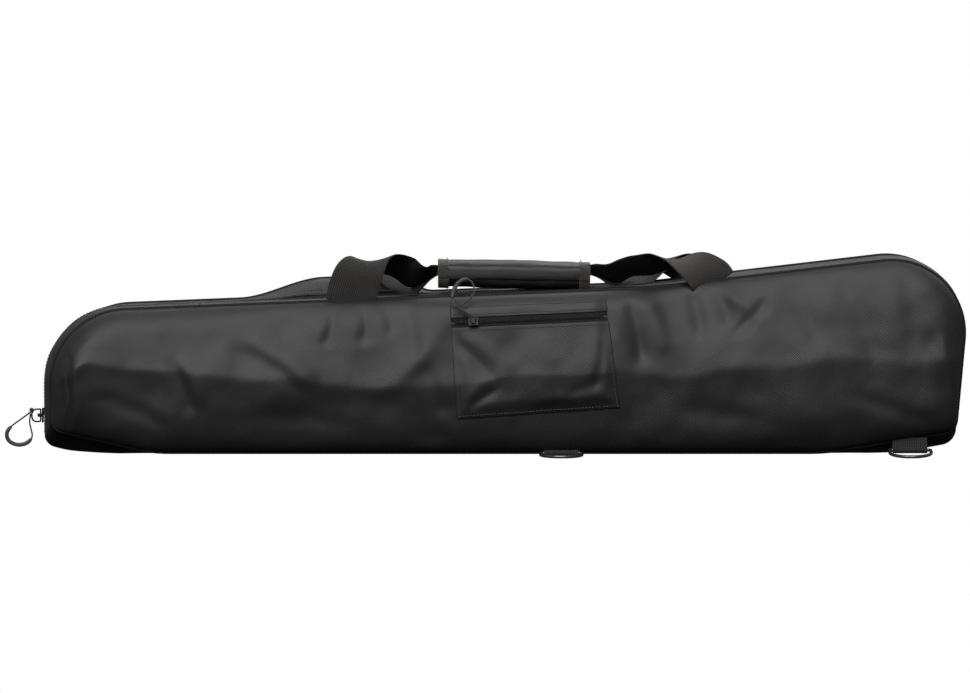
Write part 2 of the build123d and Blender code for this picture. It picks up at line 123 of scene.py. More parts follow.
def outline_counts():
    """How many samples each corner's arc and each edge gets, the same for every loop."""
    corners = moved_corners(0, 0)
    counts = []
    for i in range(len(corners)):
        after = corners[(i + 1) % len(corners)]
        start, _, end = corner_arc(corners[i - 1], corners[i], after, OUTLINE[i][2])
        on_arc = int(1.1 * np.linalg.norm(end - start) / LOOP_STEP)
        on_edge = int(np.linalg.norm(after - corners[i]) / LOOP_STEP)
        counts.append((max(ARC_POINTS, on_arc), on_edge))
    return counts


COUNTS = outline_counts()


def raw_loop(grow=0.0, bulge=0.0):
    """Samples round the outline in mm, from its first corner."""
    corners = moved_corners(grow, bulge)
    arcs = []
    for i in range(len(corners)):
        after = corners[(i + 1) % len(corners)]
        arcs.append(corner_arc(corners[i - 1], corners[i], after, OUTLINE[i][2] + grow))
    points = []
    for i, (start, centre, end) in enumerate(arcs):
        for t in np.linspace(0, 1, COUNTS[i][0], endpoint=False):
            spoke = (start - centre) * (1 - t) + (end - centre) * t
            points.append(centre + spoke / np.linalg.norm(spoke) * np.linalg.norm(start - centre))
        for t in np.linspace(0, 1, COUNTS[i][1], endpoint=False):
            points.append(end * (1 - t) + arcs[(i + 1) % len(arcs)][0] * t)
    return np.array(points)


BASE = raw_loop()
LOOP_START = int(np.where((BASE[:, 0] < OUTLINE[0][0] + 1) & (BASE[:, 1] < ZIP_END_Z + 10))[0][0])


def loop(grow=0.0, bulge=0.0):
    """Samples round the outline in mm, from the lower end of the main zip anticlockwise."""
    return np.roll(raw_loop(grow, bulge), -LOOP_START, axis=0)


RIM = loop()
COUNT = len(RIM)


def samples(first, last):
    """Numbers of the outline's samples from first to last, both included."""
    return np.arange(first, last + 1) % COUNT


def rim_index(x, top=True):
    """Sample nearest to x on the top or the bottom of the outline."""
    far = np.where((RIM[:, 1] > TOP_FROM_Z) == top, 0, 1e6)
    return int(np.argmin(np.abs(RIM[:, 0] - x) + far))


WIDE_LOW = int(np.argmin(np.hypot(RIM[:, 0] - OUTLINE[3][0], RIM[:, 1] - ZIP_END_Z)))
TAIL = rim_index(ZIP_TAIL_X)
MOUTH_WIDE = rim_index(MOUTH_X[1])
MOUTH_NARROW = rim_index(MOUTH_X[0])


def rim_normals(points):
    """Outward direction at each sample of a loop."""
    ahead = np.roll(points, -1, axis=0) - np.roll(points, 1, axis=0)
    ahead /= np.linalg.norm(ahead, axis=1)[:, None]
    return np.stack([ahead[:, 1], -ahead[:, 0]], axis=1)


def top_z(x):
    """Height of the top seam at x."""
    upper = RIM[WIDE_LOW:]
    order = np.argsort(upper[:, 0])
    return np.interp(x, upper[order, 0], upper[order, 1])


# ------------------------------------------------------------------ mesh helpers


def new_object(name, vertices, faces, material):
    """Smooth mesh object from vertices in mm."""
    mesh = bpy.data.meshes.new(name)
    mesh.from_pydata([tuple(v) for v in np.asarray(vertices) * MM], [], faces)
    mesh.materials.append(material)
    mesh.polygons.foreach_set("use_smooth", [True] * len(mesh.polygons))
    mesh.update()
    piece = bpy.data.objects.new(name, mesh)
    bpy.context.scene.collection.objects.link(piece)
    return piece


def grid_faces(rows, columns):
    faces = []
    for r in range(rows - 1):
        for c in range(columns - 1):
            here = r * columns + c
            faces.append((here, here + 1, here + columns + 1, here + columns))
    return faces


def grid_object(name, grid, material, flip=False):
    rows, columns = grid.shape[:2]
    faces = grid_faces(rows, columns)
    if flip:
        faces = [face[::-1] for face in faces]
    return new_object(name, grid.reshape(-1, 3), faces, material)


def modify(piece, kind, **settings):
    modifier = piece.modifiers.new(kind.lower(), kind)
    for key, value in settings.items():
        setattr(modifier, key, value)
    return modifier


def apply_modifiers(piece):
    """Replace the piece's mesh by what its modifiers make of it."""
    graph = bpy.context.evaluated_depsgraph_get()
    mesh = bpy.data.meshes.new_from_object(piece.evaluated_get(graph))
    piece.modifiers.clear()
    piece.data = mesh
    return piece


def thicken(piece, thickness, levels=0, offset=-1.0):
    modify(piece, "SOLIDIFY", thickness=thickness * MM, offset=offset)
    if levels:
        modify(piece, "SUBSURF", levels=levels, render_levels=levels)
    return apply_modifiers(piece)


def noise_at(x, y, z, size, seed):
    """Smooth noise between about -1 and 1 for features of the given size in mm."""
    return noise.noise(Vector((x / size + seed, y / size - seed, z / size + 3 * seed)))


def rod(name, points, radius, material, closed=False, sides=8):
    """Round rod along a polyline in mm."""
    points = np.asarray(points, float)
    count = len(points)
    rings = []
    across = None
    for i in range(count):
        before = points[i - 1] if closed or i else points[0]
        after = points[(i + 1) % count] if closed or i < count - 1 else points[-1]
        along = Vector(after - before).normalized()
        if across is None:
            across = along.orthogonal().normalized()
        across = (across - along * across.dot(along)).normalized()
        other = along.cross(across)
        width = radius[i] if hasattr(radius, "__len__") else radius
        for k in range(sides):
            angle = 2 * pi * k / sides
            rings.append(Vector(points[i]) + (across * cos(angle) + other * sin(angle)) * width)
    faces = []
    for r in range(count if closed else count - 1):
        for c in range(sides):
            d, n = (c + 1) % sides, (r + 1) % count
            faces.append((r * sides + c, r * sides + d, n * sides + d, n * sides + c))
    if not closed:
        faces.append(tuple(range(sides))[::-1])
        faces.append(tuple(range((count - 1) * sides, count * sides)))
    return new_object(name, [tuple(v) for v in rings], faces, material)


def join_copies(name, shape, places, material):
    """One mesh of a small shape (vertices, faces) repeated at each 4x3 place (origin, axes)."""
    vertices, faces = [], []
    base = np.asarray(shape[0])
    for place in places:
        start = len(vertices)
        vertices.extend(place[0] + base @ np.asarray(place[1:]))
        faces.extend(tuple(start + i for i in face) for face in shape[1])
    return new_object(name, vertices, faces, material)


# Lengthwise places of a lump's sections and their share of its full section, then the section.
LUMP_STATIONS = ((-0.5, 0.35), (-0.36, 0.85), (0.36, 0.85), (0.5, 0.35))
LUMP_SECTION = ((-0.5, 0), (-0.35, 0.75), (0, 1), (0.35, 0.75), (0.5, 0))


def lump(length, width, height):
    """Rounded bar with its length along its first axis, lying on its underside."""
    vertices = [
        (x * length, y * width * share, z * height * share)
        for x, share in LUMP_STATIONS
        for y, z in LUMP_SECTION
    ]
    ring, last = len(LUMP_SECTION), len(vertices)
    ends = [tuple(range(ring)), tuple(range(last - 1, last - ring - 1, -1))]
    return vertices, grid_faces(len(LUMP_STATIONS), ring) + ends


def distances(line):
    """Distance of each point of a polyline from its first, along the line."""
    return np.concatenate([[0], np.cumsum(np.linalg.norm(np.diff(line, axis=0), axis=1))])


def row_at(s, reach, rows):
    """Row of an array at distance s, between rows that lie at the given distances."""
    return np.array([np.interp(s, reach, rows[:, k]) for k in range(rows.shape[1])])


STITCH_PITCH = 3.4
STITCH = (2.312, 0.75, 0.4)  # length, width and height of one stitch
TANGENT_REACH = 0.8


def stitches(name, line, outwards):
    """Row of thread stitches along a polyline in mm, lying on a surface with these normals."""
    line, outwards = np.asarray(line, float), np.asarray(outwards, float)
    reach = distances(line)
    places = []
    for s in np.arange(STITCH_PITCH / 2, reach[-1], STITCH_PITCH):
        centre = row_at(s, reach, line)
        ahead = row_at(s + TANGENT_REACH, reach, line)
        behind = row_at(s - TANGENT_REACH, reach, line)
        out = row_at(s, reach, outwards)
        along = (ahead - behind) / (np.linalg.norm(ahead - behind) + 1e-9)
        out = out - along * (out @ along)
        out /= np.linalg.norm(out) + 1e-9
        places.append((centre, along, np.cross(out, along), out))
    return join_copies(name, lump(*STITCH), places, THREAD)


def attach(piece, body, nodes):
    """Let a piece ride on its body, and hide the CAD nodes it replaces."""
    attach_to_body(piece, body)
    if nodes:
        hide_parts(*nodes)


# ------------------------------------------------------------------ materials


def shader(name):
    material = bpy.data.materials.new(name)
    material.use_nodes = True
    nodes, links = material.node_tree.nodes, material.node_tree.links
    return material, nodes, links, nodes["Principled BSDF"]


def node(nodes, kind, **settings):
    made = nodes.new(kind)
    for key, value in settings.items():
        if hasattr(made, key):
            setattr(made, key, value)
        else:
            made.inputs[key].default_value = value
    return made


def set_inputs(made, values):
    for socket, value in values.items():
        made.inputs[socket].default_value = value


def coordinates(nodes, links, turn=(0, 0, 0)):
    place = node(nodes, "ShaderNodeTexCoord")
    mapping = node(nodes, "ShaderNodeMapping")
    mapping.inputs["Rotation"].default_value = turn
    links.new(place.outputs["Object"], mapping.inputs["Vector"])
    return mapping.outputs["Vector"]


def mottled_colour(nodes, links, colour, spread, size):
    """Base colour that wanders by the given share over patches of the given size in mm."""
    patches = node(nodes, "ShaderNodeTexNoise", Scale=1000 / size, Detail=4.0, Roughness=0.6)
    links.new(coordinates(nodes, links), patches.inputs["Vector"])
    ramp = node(nodes, "ShaderNodeValToRGB")
    low, high = ramp.color_ramp.elements
    low.position, high.position = 0.3, 0.7
    low.color = (*[c * (1 - spread) for c in colour], 1)
    high.color = (*[min(c * (1 + spread), 1) for c in colour], 1)
    links.new(patches.outputs["Fac"], ramp.inputs["Fac"])
    return ramp.outputs["Color"]


WAVE_PITCH = 0.314  # metres between the bands of a wave texture whose scale is 1


def weave(nodes, links, pitch, turn):
    """Bands of thread with the given pitch in mm, in the direction that turn gives."""
    scale = WAVE_PITCH / (pitch * MM)
    bands = node(nodes, "ShaderNodeTexWave", Scale=scale, Distortion=0.35, Detail=1.0)
    bands.inputs["Detail Scale"].default_value = 2.0
    links.new(coordinates(nodes, links, turn), bands.inputs["Vector"])
    return bands.outputs["Fac"]


def crossed(nodes, links, first, second, share):
    """Height of one set of threads plus a share of a second one."""
    both = node(nodes, "ShaderNodeMath", operation="MULTIPLY_ADD")
    both.inputs[1].default_value = share
    links.new(second, both.inputs[0])
    links.new(first, both.inputs[2])
    return both.outputs["Value"]


def paint_dip_shade(nodes, links, bsdf, tone, height, factor):
    # Painted shade: the base colour is darkened where the threads dip, by the given share.
    dips = node(nodes, "ShaderNodeMix", data_type="RGBA", blend_type="MULTIPLY")
    dips.inputs["Factor"].default_value = factor
    links.new(tone, dips.inputs["A"])
    links.new(height, dips.inputs["B"])
    links.new(dips.outputs["Result"], bsdf.inputs["Base Color"])


def add_bump(nodes, links, bsdf, height, strength, depth):
    """Bump on the surface, with its depth in metres."""
    bump = node(nodes, "ShaderNodeBump", Strength=strength, Distance=depth)
    links.new(height, bump.inputs["Height"])
    links.new(bump.outputs["Normal"], bsdf.inputs["Normal"])


TWILL = ((0, radians(45), 0), (0, radians(-45), radians(20)))
TAPE_WEAVE = ((0, 0, radians(60)), (0, radians(60), 0))
CROSS_SHARE = 0.4
# Share of painted shade in the dips between the threads.
CLOTH_DIP_SHADE = 0.3
CLOTH_PATCH = 60  # size of the lighter and darker patches, mm
CLOTH_DEPTH = 0.0006
SHEEN_ROUGHNESS = 0.45


def cloth(
    name, colour, pitch, strength, roughness=0.75, sheen=0.25, gloss=0.35, turns=TWILL, spread=0.18
):
    """Woven cloth: crossing threads as bump, painted shade in the dips, patchy tone and sheen."""
    material, nodes, links, bsdf = shader(name)
    first, second = (weave(nodes, links, pitch, turn) for turn in turns)
    threads = crossed(nodes, links, first, second, CROSS_SHARE)
    tone = mottled_colour(nodes, links, colour, spread, CLOTH_PATCH)
    # Painted shade in the dips of the weave.
    paint_dip_shade(nodes, links, bsdf, tone, threads, CLOTH_DIP_SHADE)
    add_bump(nodes, links, bsdf, threads, strength, CLOTH_DEPTH)
    set_inputs(bsdf, {"Roughness": roughness, "Specular IOR Level": gloss})
    set_inputs(bsdf, {"Sheen Weight": sheen, "Sheen Roughness": SHEEN_ROUGHNESS})
    return material


GRAIN_SCALE = 1500.0
GRAIN_DEPTH = 0.0002
GRAIN_SPREAD = 0.15
GRAIN_PATCH = 8


def moulded(name, colour, roughness, metallic=0.0, grain=0.08, coat=0.0, gloss=0.2):
    """Moulded or coated surface with a fine grain and patchy gloss."""
    material, nodes, links, bsdf = shader(name)
    tone = mottled_colour(nodes, links, colour, GRAIN_SPREAD, GRAIN_PATCH)
    links.new(tone, bsdf.inputs["Base Color"])
    fine = node(nodes, "ShaderNodeTexNoise", Scale=GRAIN_SCALE, Detail=3.0)
    links.new(coordinates(nodes, links), fine.inputs["Vector"])
    add_bump(nodes, links, bsdf, fine.outputs["Fac"], grain, GRAIN_DEPTH)
    wear = node(nodes, "ShaderNodeMapRange")
    set_inputs(wear, {"To Min": roughness * 0.8, "To Max": min(roughness * 1.25, 1)})
    links.new(fine.outputs["Fac"], wear.inputs["Value"])
    links.new(wear.outputs["Result"], bsdf.inputs["Roughness"])
    set_inputs(bsdf, {"Metallic": metallic, "Specular IOR Level": gloss, "Coat Weight": coat})
    return material


PICK_PITCH = 1.1
PICK_SHARE = 0.35
# Share of painted shade in the dips between the ribs.
RIB_DIP_SHADE = 0.6
RIB_DEPTH = 0.0008
RIB_FINISH = {"Roughness": 0.62, "Sheen Weight": 0.04, "Specular IOR Level": 0.2}


def ribbed(name, colour, pitch, strength):
    """Webbing: ribs along its length, from the mesh's own width coordinate, and a fine weave, with
    painted shade in the dips.
    """
    material, nodes, links, bsdf = shader(name)
    place = node(nodes, "ShaderNodeUVMap").outputs["UV"]
    across, along = WAVE_PITCH / (pitch * MM), WAVE_PITCH / (PICK_PITCH * MM)
    ribs = node(nodes, "ShaderNodeTexWave", Scale=across, Distortion=0.25, Detail=1.0)
    picks = node(nodes, "ShaderNodeTexWave", Scale=along, bands_direction="Y", Distortion=0.5)
    for bands in (ribs, picks):
        links.new(place, bands.inputs["Vector"])
    threads = crossed(nodes, links, ribs.outputs["Fac"], picks.outputs["Fac"], PICK_SHARE)
    tone = mottled_colour(nodes, links, colour, 0.2, 30)
    # Painted shade in the dips between the ribs and picks.
    paint_dip_shade(nodes, links, bsdf, tone, threads, RIB_DIP_SHADE)
    add_bump(nodes, links, bsdf, threads, strength, RIB_DEPTH)
    set_inputs(bsdf, RIB_FINISH)
    return material


BLACK_NYLON = (0.010, 0.0097, 0.0095)

SHELL = cloth(
    "shell_cloth", (0.0105, 0.0102, 0.0102), 1.8, 0.3, roughness=0.54, sheen=0.0, gloss=0.34, spread=0.12
)
GUSSET = cloth("gusset_cloth", BLACK_NYLON, 1.8, 0.3, roughness=0.5, sheen=0.0, gloss=0.2)
LINING = cloth("lining_cloth", (0.05, 0.05, 0.055), 1.2, 0.3)
FOAM = moulded("foam", (0.16, 0.16, 0.165), 0.95, grain=0.8)
TAPE = cloth(
    "zip_tape_cloth", (0.008, 0.008, 0.008), 1.0, 0.4, sheen=0.0, gloss=0.15, turns=TAPE_WEAVE
)
PIPING = moulded("piping_cord", (0.003, 0.003, 0.003), 0.7, grain=0.3)
TEETH = moulded("zip_coil", (0.014, 0.014, 0.014), 0.35)
SLIDER = moulded("slider_enamel", (0.004, 0.004, 0.004), 0.45, gloss=0.12)
CORD = cloth("pull_cord", (0.015, 0.015, 0.015), 0.6, 0.6)
GRIP = moulded("grip_rubber", (0.035, 0.035, 0.035), 0.5, grain=0.4)
WEBBING = ribbed("webbing", (0.019, 0.0165, 0.0145), 2.1, 0.8)
STRAP_TAB = cloth("strap_tab_cloth", (0.012, 0.011, 0.010), 1.6, 0.7, sheen=0.05, gloss=0.15)
WRAP = cloth("wrap_cloth", BLACK_NYLON, 0.9, 0.2, roughness=0.4, sheen=0.0, gloss=0.22)
BINDING = cloth("binding_tape", (0.026, 0.021, 0.017), 1.4, 0.7, gloss=0.2)
HOOKS = moulded("hook_and_loop", (0.02, 0.02, 0.021), 0.9, grain=1.0)
RING = moulded("ring_plating", (0.05, 0.05, 0.052), 0.32, metallic=0.7, coat=0.3)
THREAD = cloth("thread", (0.030, 0.029, 0.028), 0.5, 0.4)

CAD_MATERIALS = {
    "padding_foam": FOAM,
    "lining_fabric": LINING,
    "slider_metal": SLIDER,
    "ring_metal": RING,
    "hook_and_loop": HOOKS,
    "pull_cord": CORD,
    "webbing": STRAP_TAB,
    "shell_fabric": SHELL,
    "zip_tape": TAPE,
    "zip_teeth": TEETH,
    "grip_rubber": GRIP,
    "wrap_fabric": WRAP,
    "piping": PIPING,
}


def dress_cad_nodes():
    """Give every carried-over CAD node its finish."""
    for part in frame["record"]["subparts"]:
        piece = bpy.data.objects[part["node"]]
        material = CAD_MATERIALS[part["material_slot"]]
        for place in piece.material_slots:
            place.material = material
        if not piece.material_slots:
            piece.data.materials.append(material)


# ------------------------------------------------------------------ side panels


CHUNK = 4000  # points measured at once


def seam_distance(x, z):
    """Distance of points inside the outline from the seam."""
    step = np.roll(RIM, -1, axis=0) - RIM
    length = (step**2).sum(1)
    points = np.stack([x, z], axis=1)
    best = np.empty(len(points))
    for chunk in range(0, len(points), CHUNK):
        part = points[chunk : chunk + CHUNK, None, :] - RIM[None]
        along = np.clip((part * step[None]).sum(2) / length[None], 0, 1)
        gap = part - along[..., None] * step[None]
        best[chunk : chunk + CHUNK] = np.sqrt((gap**2).sum(2).min(1))
    return best


# Where the padding folds over along the bag, and how the panel falls away above and below it.
RIDGE_X = (-450, -390, -270, -190, -120, -40, 140, 270, 370, 450)
RIDGE_Z = (88, 87, 82, 70, 66, 76, 82, 89, 96, 96)
RIDGE_RISE = 28.0
RIDGE_PLACE = (0.35, 0.65)  # least and greatest share of the panel's height where it may run
UPPER_FALL = 0.62
POCKET_FALL = 0.34
POCKET_ZONE = (-120.0, -60.0, 105.0, 160.0)
LOWER_FALL = 0.42
END_SHOULDER = 46.0
CORNER_SHOULDER = 26.0
END_CROWN = 3.5


def ease(t):
    """Smooth step from 0 to 1."""
    t = np.clip(t, 0, 1)
    return t * t * (3 - 2 * t)


def seam_heights(x):
    """Lower and upper seam height at each x."""
    widest = int(np.argmax(RIM[:, 0]))
    lower, upper = RIM[: widest + 1], RIM[widest:]
    return np.interp(x, lower[:, 0], lower[:, 1]), np.interp(x, upper[::-1, 0], upper[::-1, 1])


def panel_rise(x, z):
    """Height of the padded panel over the seam plane, before its creases."""
    x, z = np.asarray(x, float), np.asarray(z, float)
    low, high = seam_heights(x)
    ridge = np.interp(x, RIDGE_X, RIDGE_Z) + 3 * np.sin(x / 37) + 2 * np.sin(x / 17 + 1)
    ridge = low + (high - low) * np.clip((ridge - low) / (high - low + 1e-6), *RIDGE_PLACE)
    a, b, c, d = POCKET_ZONE
    by_pocket = ease((x - a) / (b - a)) * ease((d - x) / (d - c))
    fall = UPPER_FALL + (POCKET_FALL - UPPER_FALL) * by_pocket
    up = np.clip((z - ridge) / (high - ridge + 1e-6), 0, 1)
    down = np.clip((ridge - z) / (ridge - low + 1e-6), 0, 1)
    above = (1 - fall * up) * (1 - up**9) ** 0.6
    below = (1 - LOWER_FALL * down) * (1 - down**5) ** 0.6
    shape = np.where(z >= ridge, above, below)
    inset = seam_distance(x.ravel(), z.ravel()).reshape(x.shape)
    side = np.minimum(x - RIM[:, 0].min(), RIM[:, 0].max() - x)
    side = np.where(inset < side, np.minimum(side, inset + CORNER_SHOULDER), side)
    ends = 1 - (1 - np.clip(side / END_SHOULDER, 0, 1)) ** END_CROWN
    return RIDGE_RISE * shape * ends


# Creases and soft ridges of the front panel: start, end (x, z), half width, height.
FOLDS = [
    ((-426, 82), (-425, 22), 2.6, -3.0),
    ((-433, 80), (-429, 44), 2.2, -2.2),
    ((-429, 84), (-427, 36), 2.0, 1.2),
    ((-425, 99), (-423, 80), 3.0, -2.4),
    ((-437, 96), (-434, 30), 4, -1.6),
    ((-418, 92), (-416, 34), 5, 1.6),
    ((-325, 92), (-306, 45), 6, -2.6),
    ((-314, 96), (-296, 52), 7, 1.8),
    ((-262, 104), (-199, 65), 9, -2.4),
    ((-250, 112), (-190, 76), 8, 1.6),
    ((-168, 146), (-176, 108), 5, -2.2),
    ((-140, 148), (-138, 112), 6, -2.4),
    ((-120, 149), (-112, 118), 5, -1.8),
    ((-100, 150), (-88, 92), 7, -1.6),
    ((-84, 88), (-62, 42), 8, -2.2),
    ((-66, 120), (-120, 62), 9, 1.6),
    ((118, 150), (128, 92), 6, -2.6),
    ((134, 152), (150, 104), 7, 2.0),
    ((112, 128), (150, 60), 8, -2.0),
    ((176, 158), (186, 118), 6, -2.6),
    ((200, 160), (214, 128), 6, -2.8),
    ((214, 158), (244, 130), 6, 2.2),
    ((250, 152), (218, 120), 6, -2.4),
    ((270, 168), (300, 110), 9, -1.6),
    ((322, 172), (352, 96), 10, -1.8),
    ((380, 182), (392, 110), 9, -1.5),
    ((404, 120), (426, 60), 8, -2.0),
    ((416, 116), (436, 66), 7, 1.6),
    ((330, 60), (410, 30), 8, -1.8),
    ((-400, 60), (-330, 30), 8, -1.8),
    ((-240, 40), (-150, 30), 9, -1.4),
    ((170, 44), (260, 32), 9, -1.6),
]


FOLD_BOW = 2.5


def beside_fold(x, z, start, end):
    """Length of a fold, and how far along it and beside it each point lies."""
    (x0, z0), (x1, z1) = start, end
    dx, dz = x1 - x0, z1 - z0
    length = hypot(dx, dz)
    along = ((x - x0) * dx + (z - z0) * dz) / length
    return length, along, ((x - x0) * dz - (z - z0) * dx) / length


def fold_relief(x, z):
    """Height of the creases at each point."""
    relief = np.zeros_like(x)
    for start, end, width, height in FOLDS:
        length, along, aside = beside_fold(x, z, start, end)
        aside = aside + FOLD_BOW * np.sin(along / length * pi)
        ends = ease(np.minimum(along, length - along) / (0.3 * length) + 0.5)
        relief += height * ends * np.exp(-((aside / width) ** 2))
    return relief


# Soft waves of the cloth: height, size, seed, how much closer they lie in height.
WAVES = [(4.6, 74, 1.3, 1.1), (1.7, 30, 4.1, 1.0), (0.35, 12, 8.7, 1.0)]
CALM_EDGE = 16.0  # creases and waves fade out over this distance from the seam


def panel_height(x, z):
    """Height of the padded panel over the seam plane, creases and soft waves included."""
    inset = seam_distance(x.ravel(), z.ravel()).reshape(x.shape)
    relief = fold_relief(x, z)
    for i in np.ndindex(x.shape):
        for height, size, seed, squash in WAVES:
            relief[i] += height * noise_at(x[i], 0, z[i] * squash, size, seed)
    return panel_rise(x, z) + relief * np.clip(inset / CALM_EDGE, 0, 1)


END_ZONE = 24.0
END_COLUMNS = 21
COLUMN_STEP = 4.0


def panel_columns():
    """x of each column of the panel's grid, closer together at the two ends."""
    left, right = RIM[:, 0].min(), RIM[:, 0].max()
    middle = np.arange(left + END_ZONE, right - END_ZONE, COLUMN_STEP)
    near_end = END_ZONE * (1 - np.cos(np.linspace(0, pi / 2, END_COLUMNS)[:-1]))
    return np.concatenate([left + near_end, middle, (right - near_end)[::-1]])


def chain_heights(columns):
    """Lower and upper seam height at each column, with the left side as the first column."""
    low, high = seam_heights(columns)
    on_left = RIM[np.abs(RIM[:, 0] - RIM[:, 0].min()) < 0.01]
    low[0], high[0] = on_left[:, 1].min(), on_left[:, 1].max()
    return low, high


PANEL_ROWS = 46


def panel_grid():
    columns = panel_columns()
    low, high = chain_heights(columns)
    rows = (1 - np.cos(np.linspace(0, pi, PANEL_ROWS))) / 2
    rows = 0.55 * rows + 0.45 * np.linspace(0, 1, PANEL_ROWS)
    z = low[None, :] + (high - low)[None, :] * rows[:, None]
    x = np.broadcast_to(columns[None, :], z.shape).copy()
    return x, z, panel_height(x, z)


CLOTH_SETTINGS = {
    "quality": 6,
    "mass": 0.4,
    "tension_stiffness": 40,
    "compression_stiffness": 40,
    "shear_stiffness": 12,
    "bending_stiffness": 1.2,
    "vertex_group_mass": "seam",
    "shrink_min": -0.035,
    "use_pressure": True,
    "uniform_pressure_force": 3.0,
}
SETTLE_FRAMES = 20
SETTLE_CAP = 5.0


def settle(piece, pinned, cap):
    """Cloth simulation that puffs the panel out and buckles it, by no more than cap mm."""
    group = piece.vertex_groups.new(name="seam")
    group.add([int(i) for i in pinned], 1.0, "REPLACE")
    start = np.array([v.co for v in piece.data.vertices])
    cloth_settings = modify(piece, "CLOTH").settings
    for key, value in CLOTH_SETTINGS.items():
        setattr(cloth_settings, key, value)
    cloth_settings.effector_weights.gravity = 0
    for number in range(1, SETTLE_FRAMES + 1):
        bpy.context.scene.frame_set(number)
    apply_modifiers(piece)
    bpy.context.scene.frame_set(1)
    for vertex, before in zip(piece.data.vertices, start):
        moved = np.array(vertex.co) - before
        length = np.linalg.norm(moved)
        if length > cap * MM:
            vertex.co = before + moved * (cap * MM / length)


def side_panels():
    x, z, rise = panel_grid()
    grid = np.stack([x, -PANEL_Y - rise, z], axis=2)
    front = grid_object("front_panel_cloth", grid, SHELL)
    rows, columns = x.shape
    numbers = np.arange(rows * columns).reshape(rows, columns)
    pinned = np.concatenate([numbers[0], numbers[-1], numbers[:, 0], numbers[:, -1]])
    settle(front, pinned, SETTLE_CAP)
    back_mesh = front.data.copy()
    for vertex in back_mesh.vertices:
        vertex.co.y = -vertex.co.y
        vertex.co.z += MM * float(hump(vertex.co.x / MM, vertex.co.z / MM, SEAM_Y))
    back_mesh.flip_normals()
    back = bpy.data.objects.new("back_panel_cloth", back_mesh)
    bpy.context.scene.collection.objects.link(back)
    for piece, side in ((front, "front"), (back, "back")):
        modify(piece, "SUBSURF", levels=1, render_levels=1)
        apply_modifiers(piece)
        attach(piece, "bag", [side + "_panel"])
    inner_layers(x, z, rise)


# Layers behind the panel's cloth: name, material, slot, depth at the seam, depth of the layer.
INNER_LAYERS = [
    ("foam", FOAM, "padding_foam", 1.5, 6.5),
    ("lining", LINING, "lining_fabric", 3.0, 9.5),
]
INNER_SHARE = 0.93  # share of the cloth's relief that the layers follow


def inner_layers(x, z, rise):
    """Foam and lining of both panels, each a sheet that follows the cloth."""
    for layer, material, slot, at_seam, depth in INNER_LAYERS:
        grid = np.stack([x, -PANEL_Y + at_seam - np.maximum(rise - depth, 0) * INNER_SHARE, z], axis=2)
        back = grid * (1, -1, 1)
        back[..., 2] += hump(x, z, SEAM_Y)
        for side, points in (("front", grid), ("back", back)):
            piece = grid_object(f"{side}_{layer}_sheet", points, material, flip=side == "back")
            attach(piece, "bag", [f"{side}_{layer}"])


def piping_tubes():
    for side, sign in (("front", -1), ("back", 1)):
        line = [(x, sign * SEAM_Y, z + float(hump(x, z, sign * SEAM_Y))) for x, z in RIM]
        tube = rod(side + "_piping_cord", line, PIPING_RADIUS, PIPING, closed=True, sides=10)
        attach(tube, "bag", [side + "_piping"])


# ------------------------------------------------------------------ gusset and main zip


HUMP_X = (-262.0, -180.0, -118.0, -72.0)
HUMP_RISE = 17.0
HUMP_FROM = (-8.0, 110.0)  # y and z where it begins
HUMP_OVER = (52, 38)  # distance in y and z over which it reaches its full height


def hump(x, z, y):
    """How far the slack back half of the top pushes up beside the narrow end of the handle."""
    a, b, c, d = HUMP_X
    along = ease((np.asarray(x) - a) / (b - a)) * ease((d - np.asarray(x)) / (d - c))
    depth, height = ((np.asarray(v) - v0) / over for v, v0, over in zip((y, z), HUMP_FROM, HUMP_OVER))
    return HUMP_RISE * along * ease(height) * ease(depth)


WRINKLE = 0.7
WRINKLE_SIZE = 28


def gusset_surface(y, lift, wrinkle=WRINKLE):
    """Samples round the gusset at one distance from the middle plane."""
    share = max(0.0, 1 - (y / GUSSET_Y) ** 2)
    points = loop(lift, share)
    points[:, 1] += hump(points[:, 0], points[:, 1], y)
    normals = rim_normals(points)
    inside = min(1.0, (GUSSET_Y - abs(y)) / 8)
    moves = [wrinkle * inside * noise_at(x, y, z, WRINKLE_SIZE, 6.5) for x, z in points]
    points = points + normals * np.array(moves)[:, None]
    return np.column_stack([points[:, 0], np.full(len(points), y), points[:, 1]])


def gusset_sheet(name, first, last, near, far, lift, material, wrinkle=WRINKLE):
    """Part of the gusset between two samples of the outline and two distances in y."""
    steps = max(2, int(abs(far - near) / LOOP_STEP) + 1)
    rows = [gusset_surface(y, lift, wrinkle) for y in np.linspace(near, far, steps)]
    return grid_object(name, np.stack(rows)[:, samples(first, last)], material, flip=True)


GUSSET_CLOTH = 1.0


def gusset_strips():
    low = gusset_sheet("bottom_gusset_cloth", 0, WIDE_LOW, -GUSSET_Y, GUSSET_Y, 0, GUSSET)
    attach(thicken(low, GUSSET_CLOTH), "bag", ["bottom_gusset"])
    wide = gusset_sheet("wide_end_gusset_cloth", WIDE_LOW, TAIL, -GUSSET_Y, GUSSET_Y, 0, GUSSET)
    attach(thicken(wide, GUSSET_CLOTH), "bag", ["wide_end_gusset"])


ZIP_DEPTH = -1.3  # tapes and teeth, from the gusset's surface
TOOTH_Y = 1.3
TOOTH_PITCH = 2.0
TOOTH = (3.0, 1.3, 1.7)
STRIP_SPAN = (GUSSET_Y, ZIP_SLOT_HALF)
TAPE_SPAN = (13, 1.6)
TAPE_CLOTH = 0.5
ZIP_STITCH_INSETS = (2.2, 8.5)
STITCH_LIFT = 0.15

ZONES = {
    "tail": (TAIL, MOUTH_WIDE),
    "mouth": (MOUTH_WIDE, MOUTH_NARROW),
    "corner": (MOUTH_NARROW, COUNT),
}


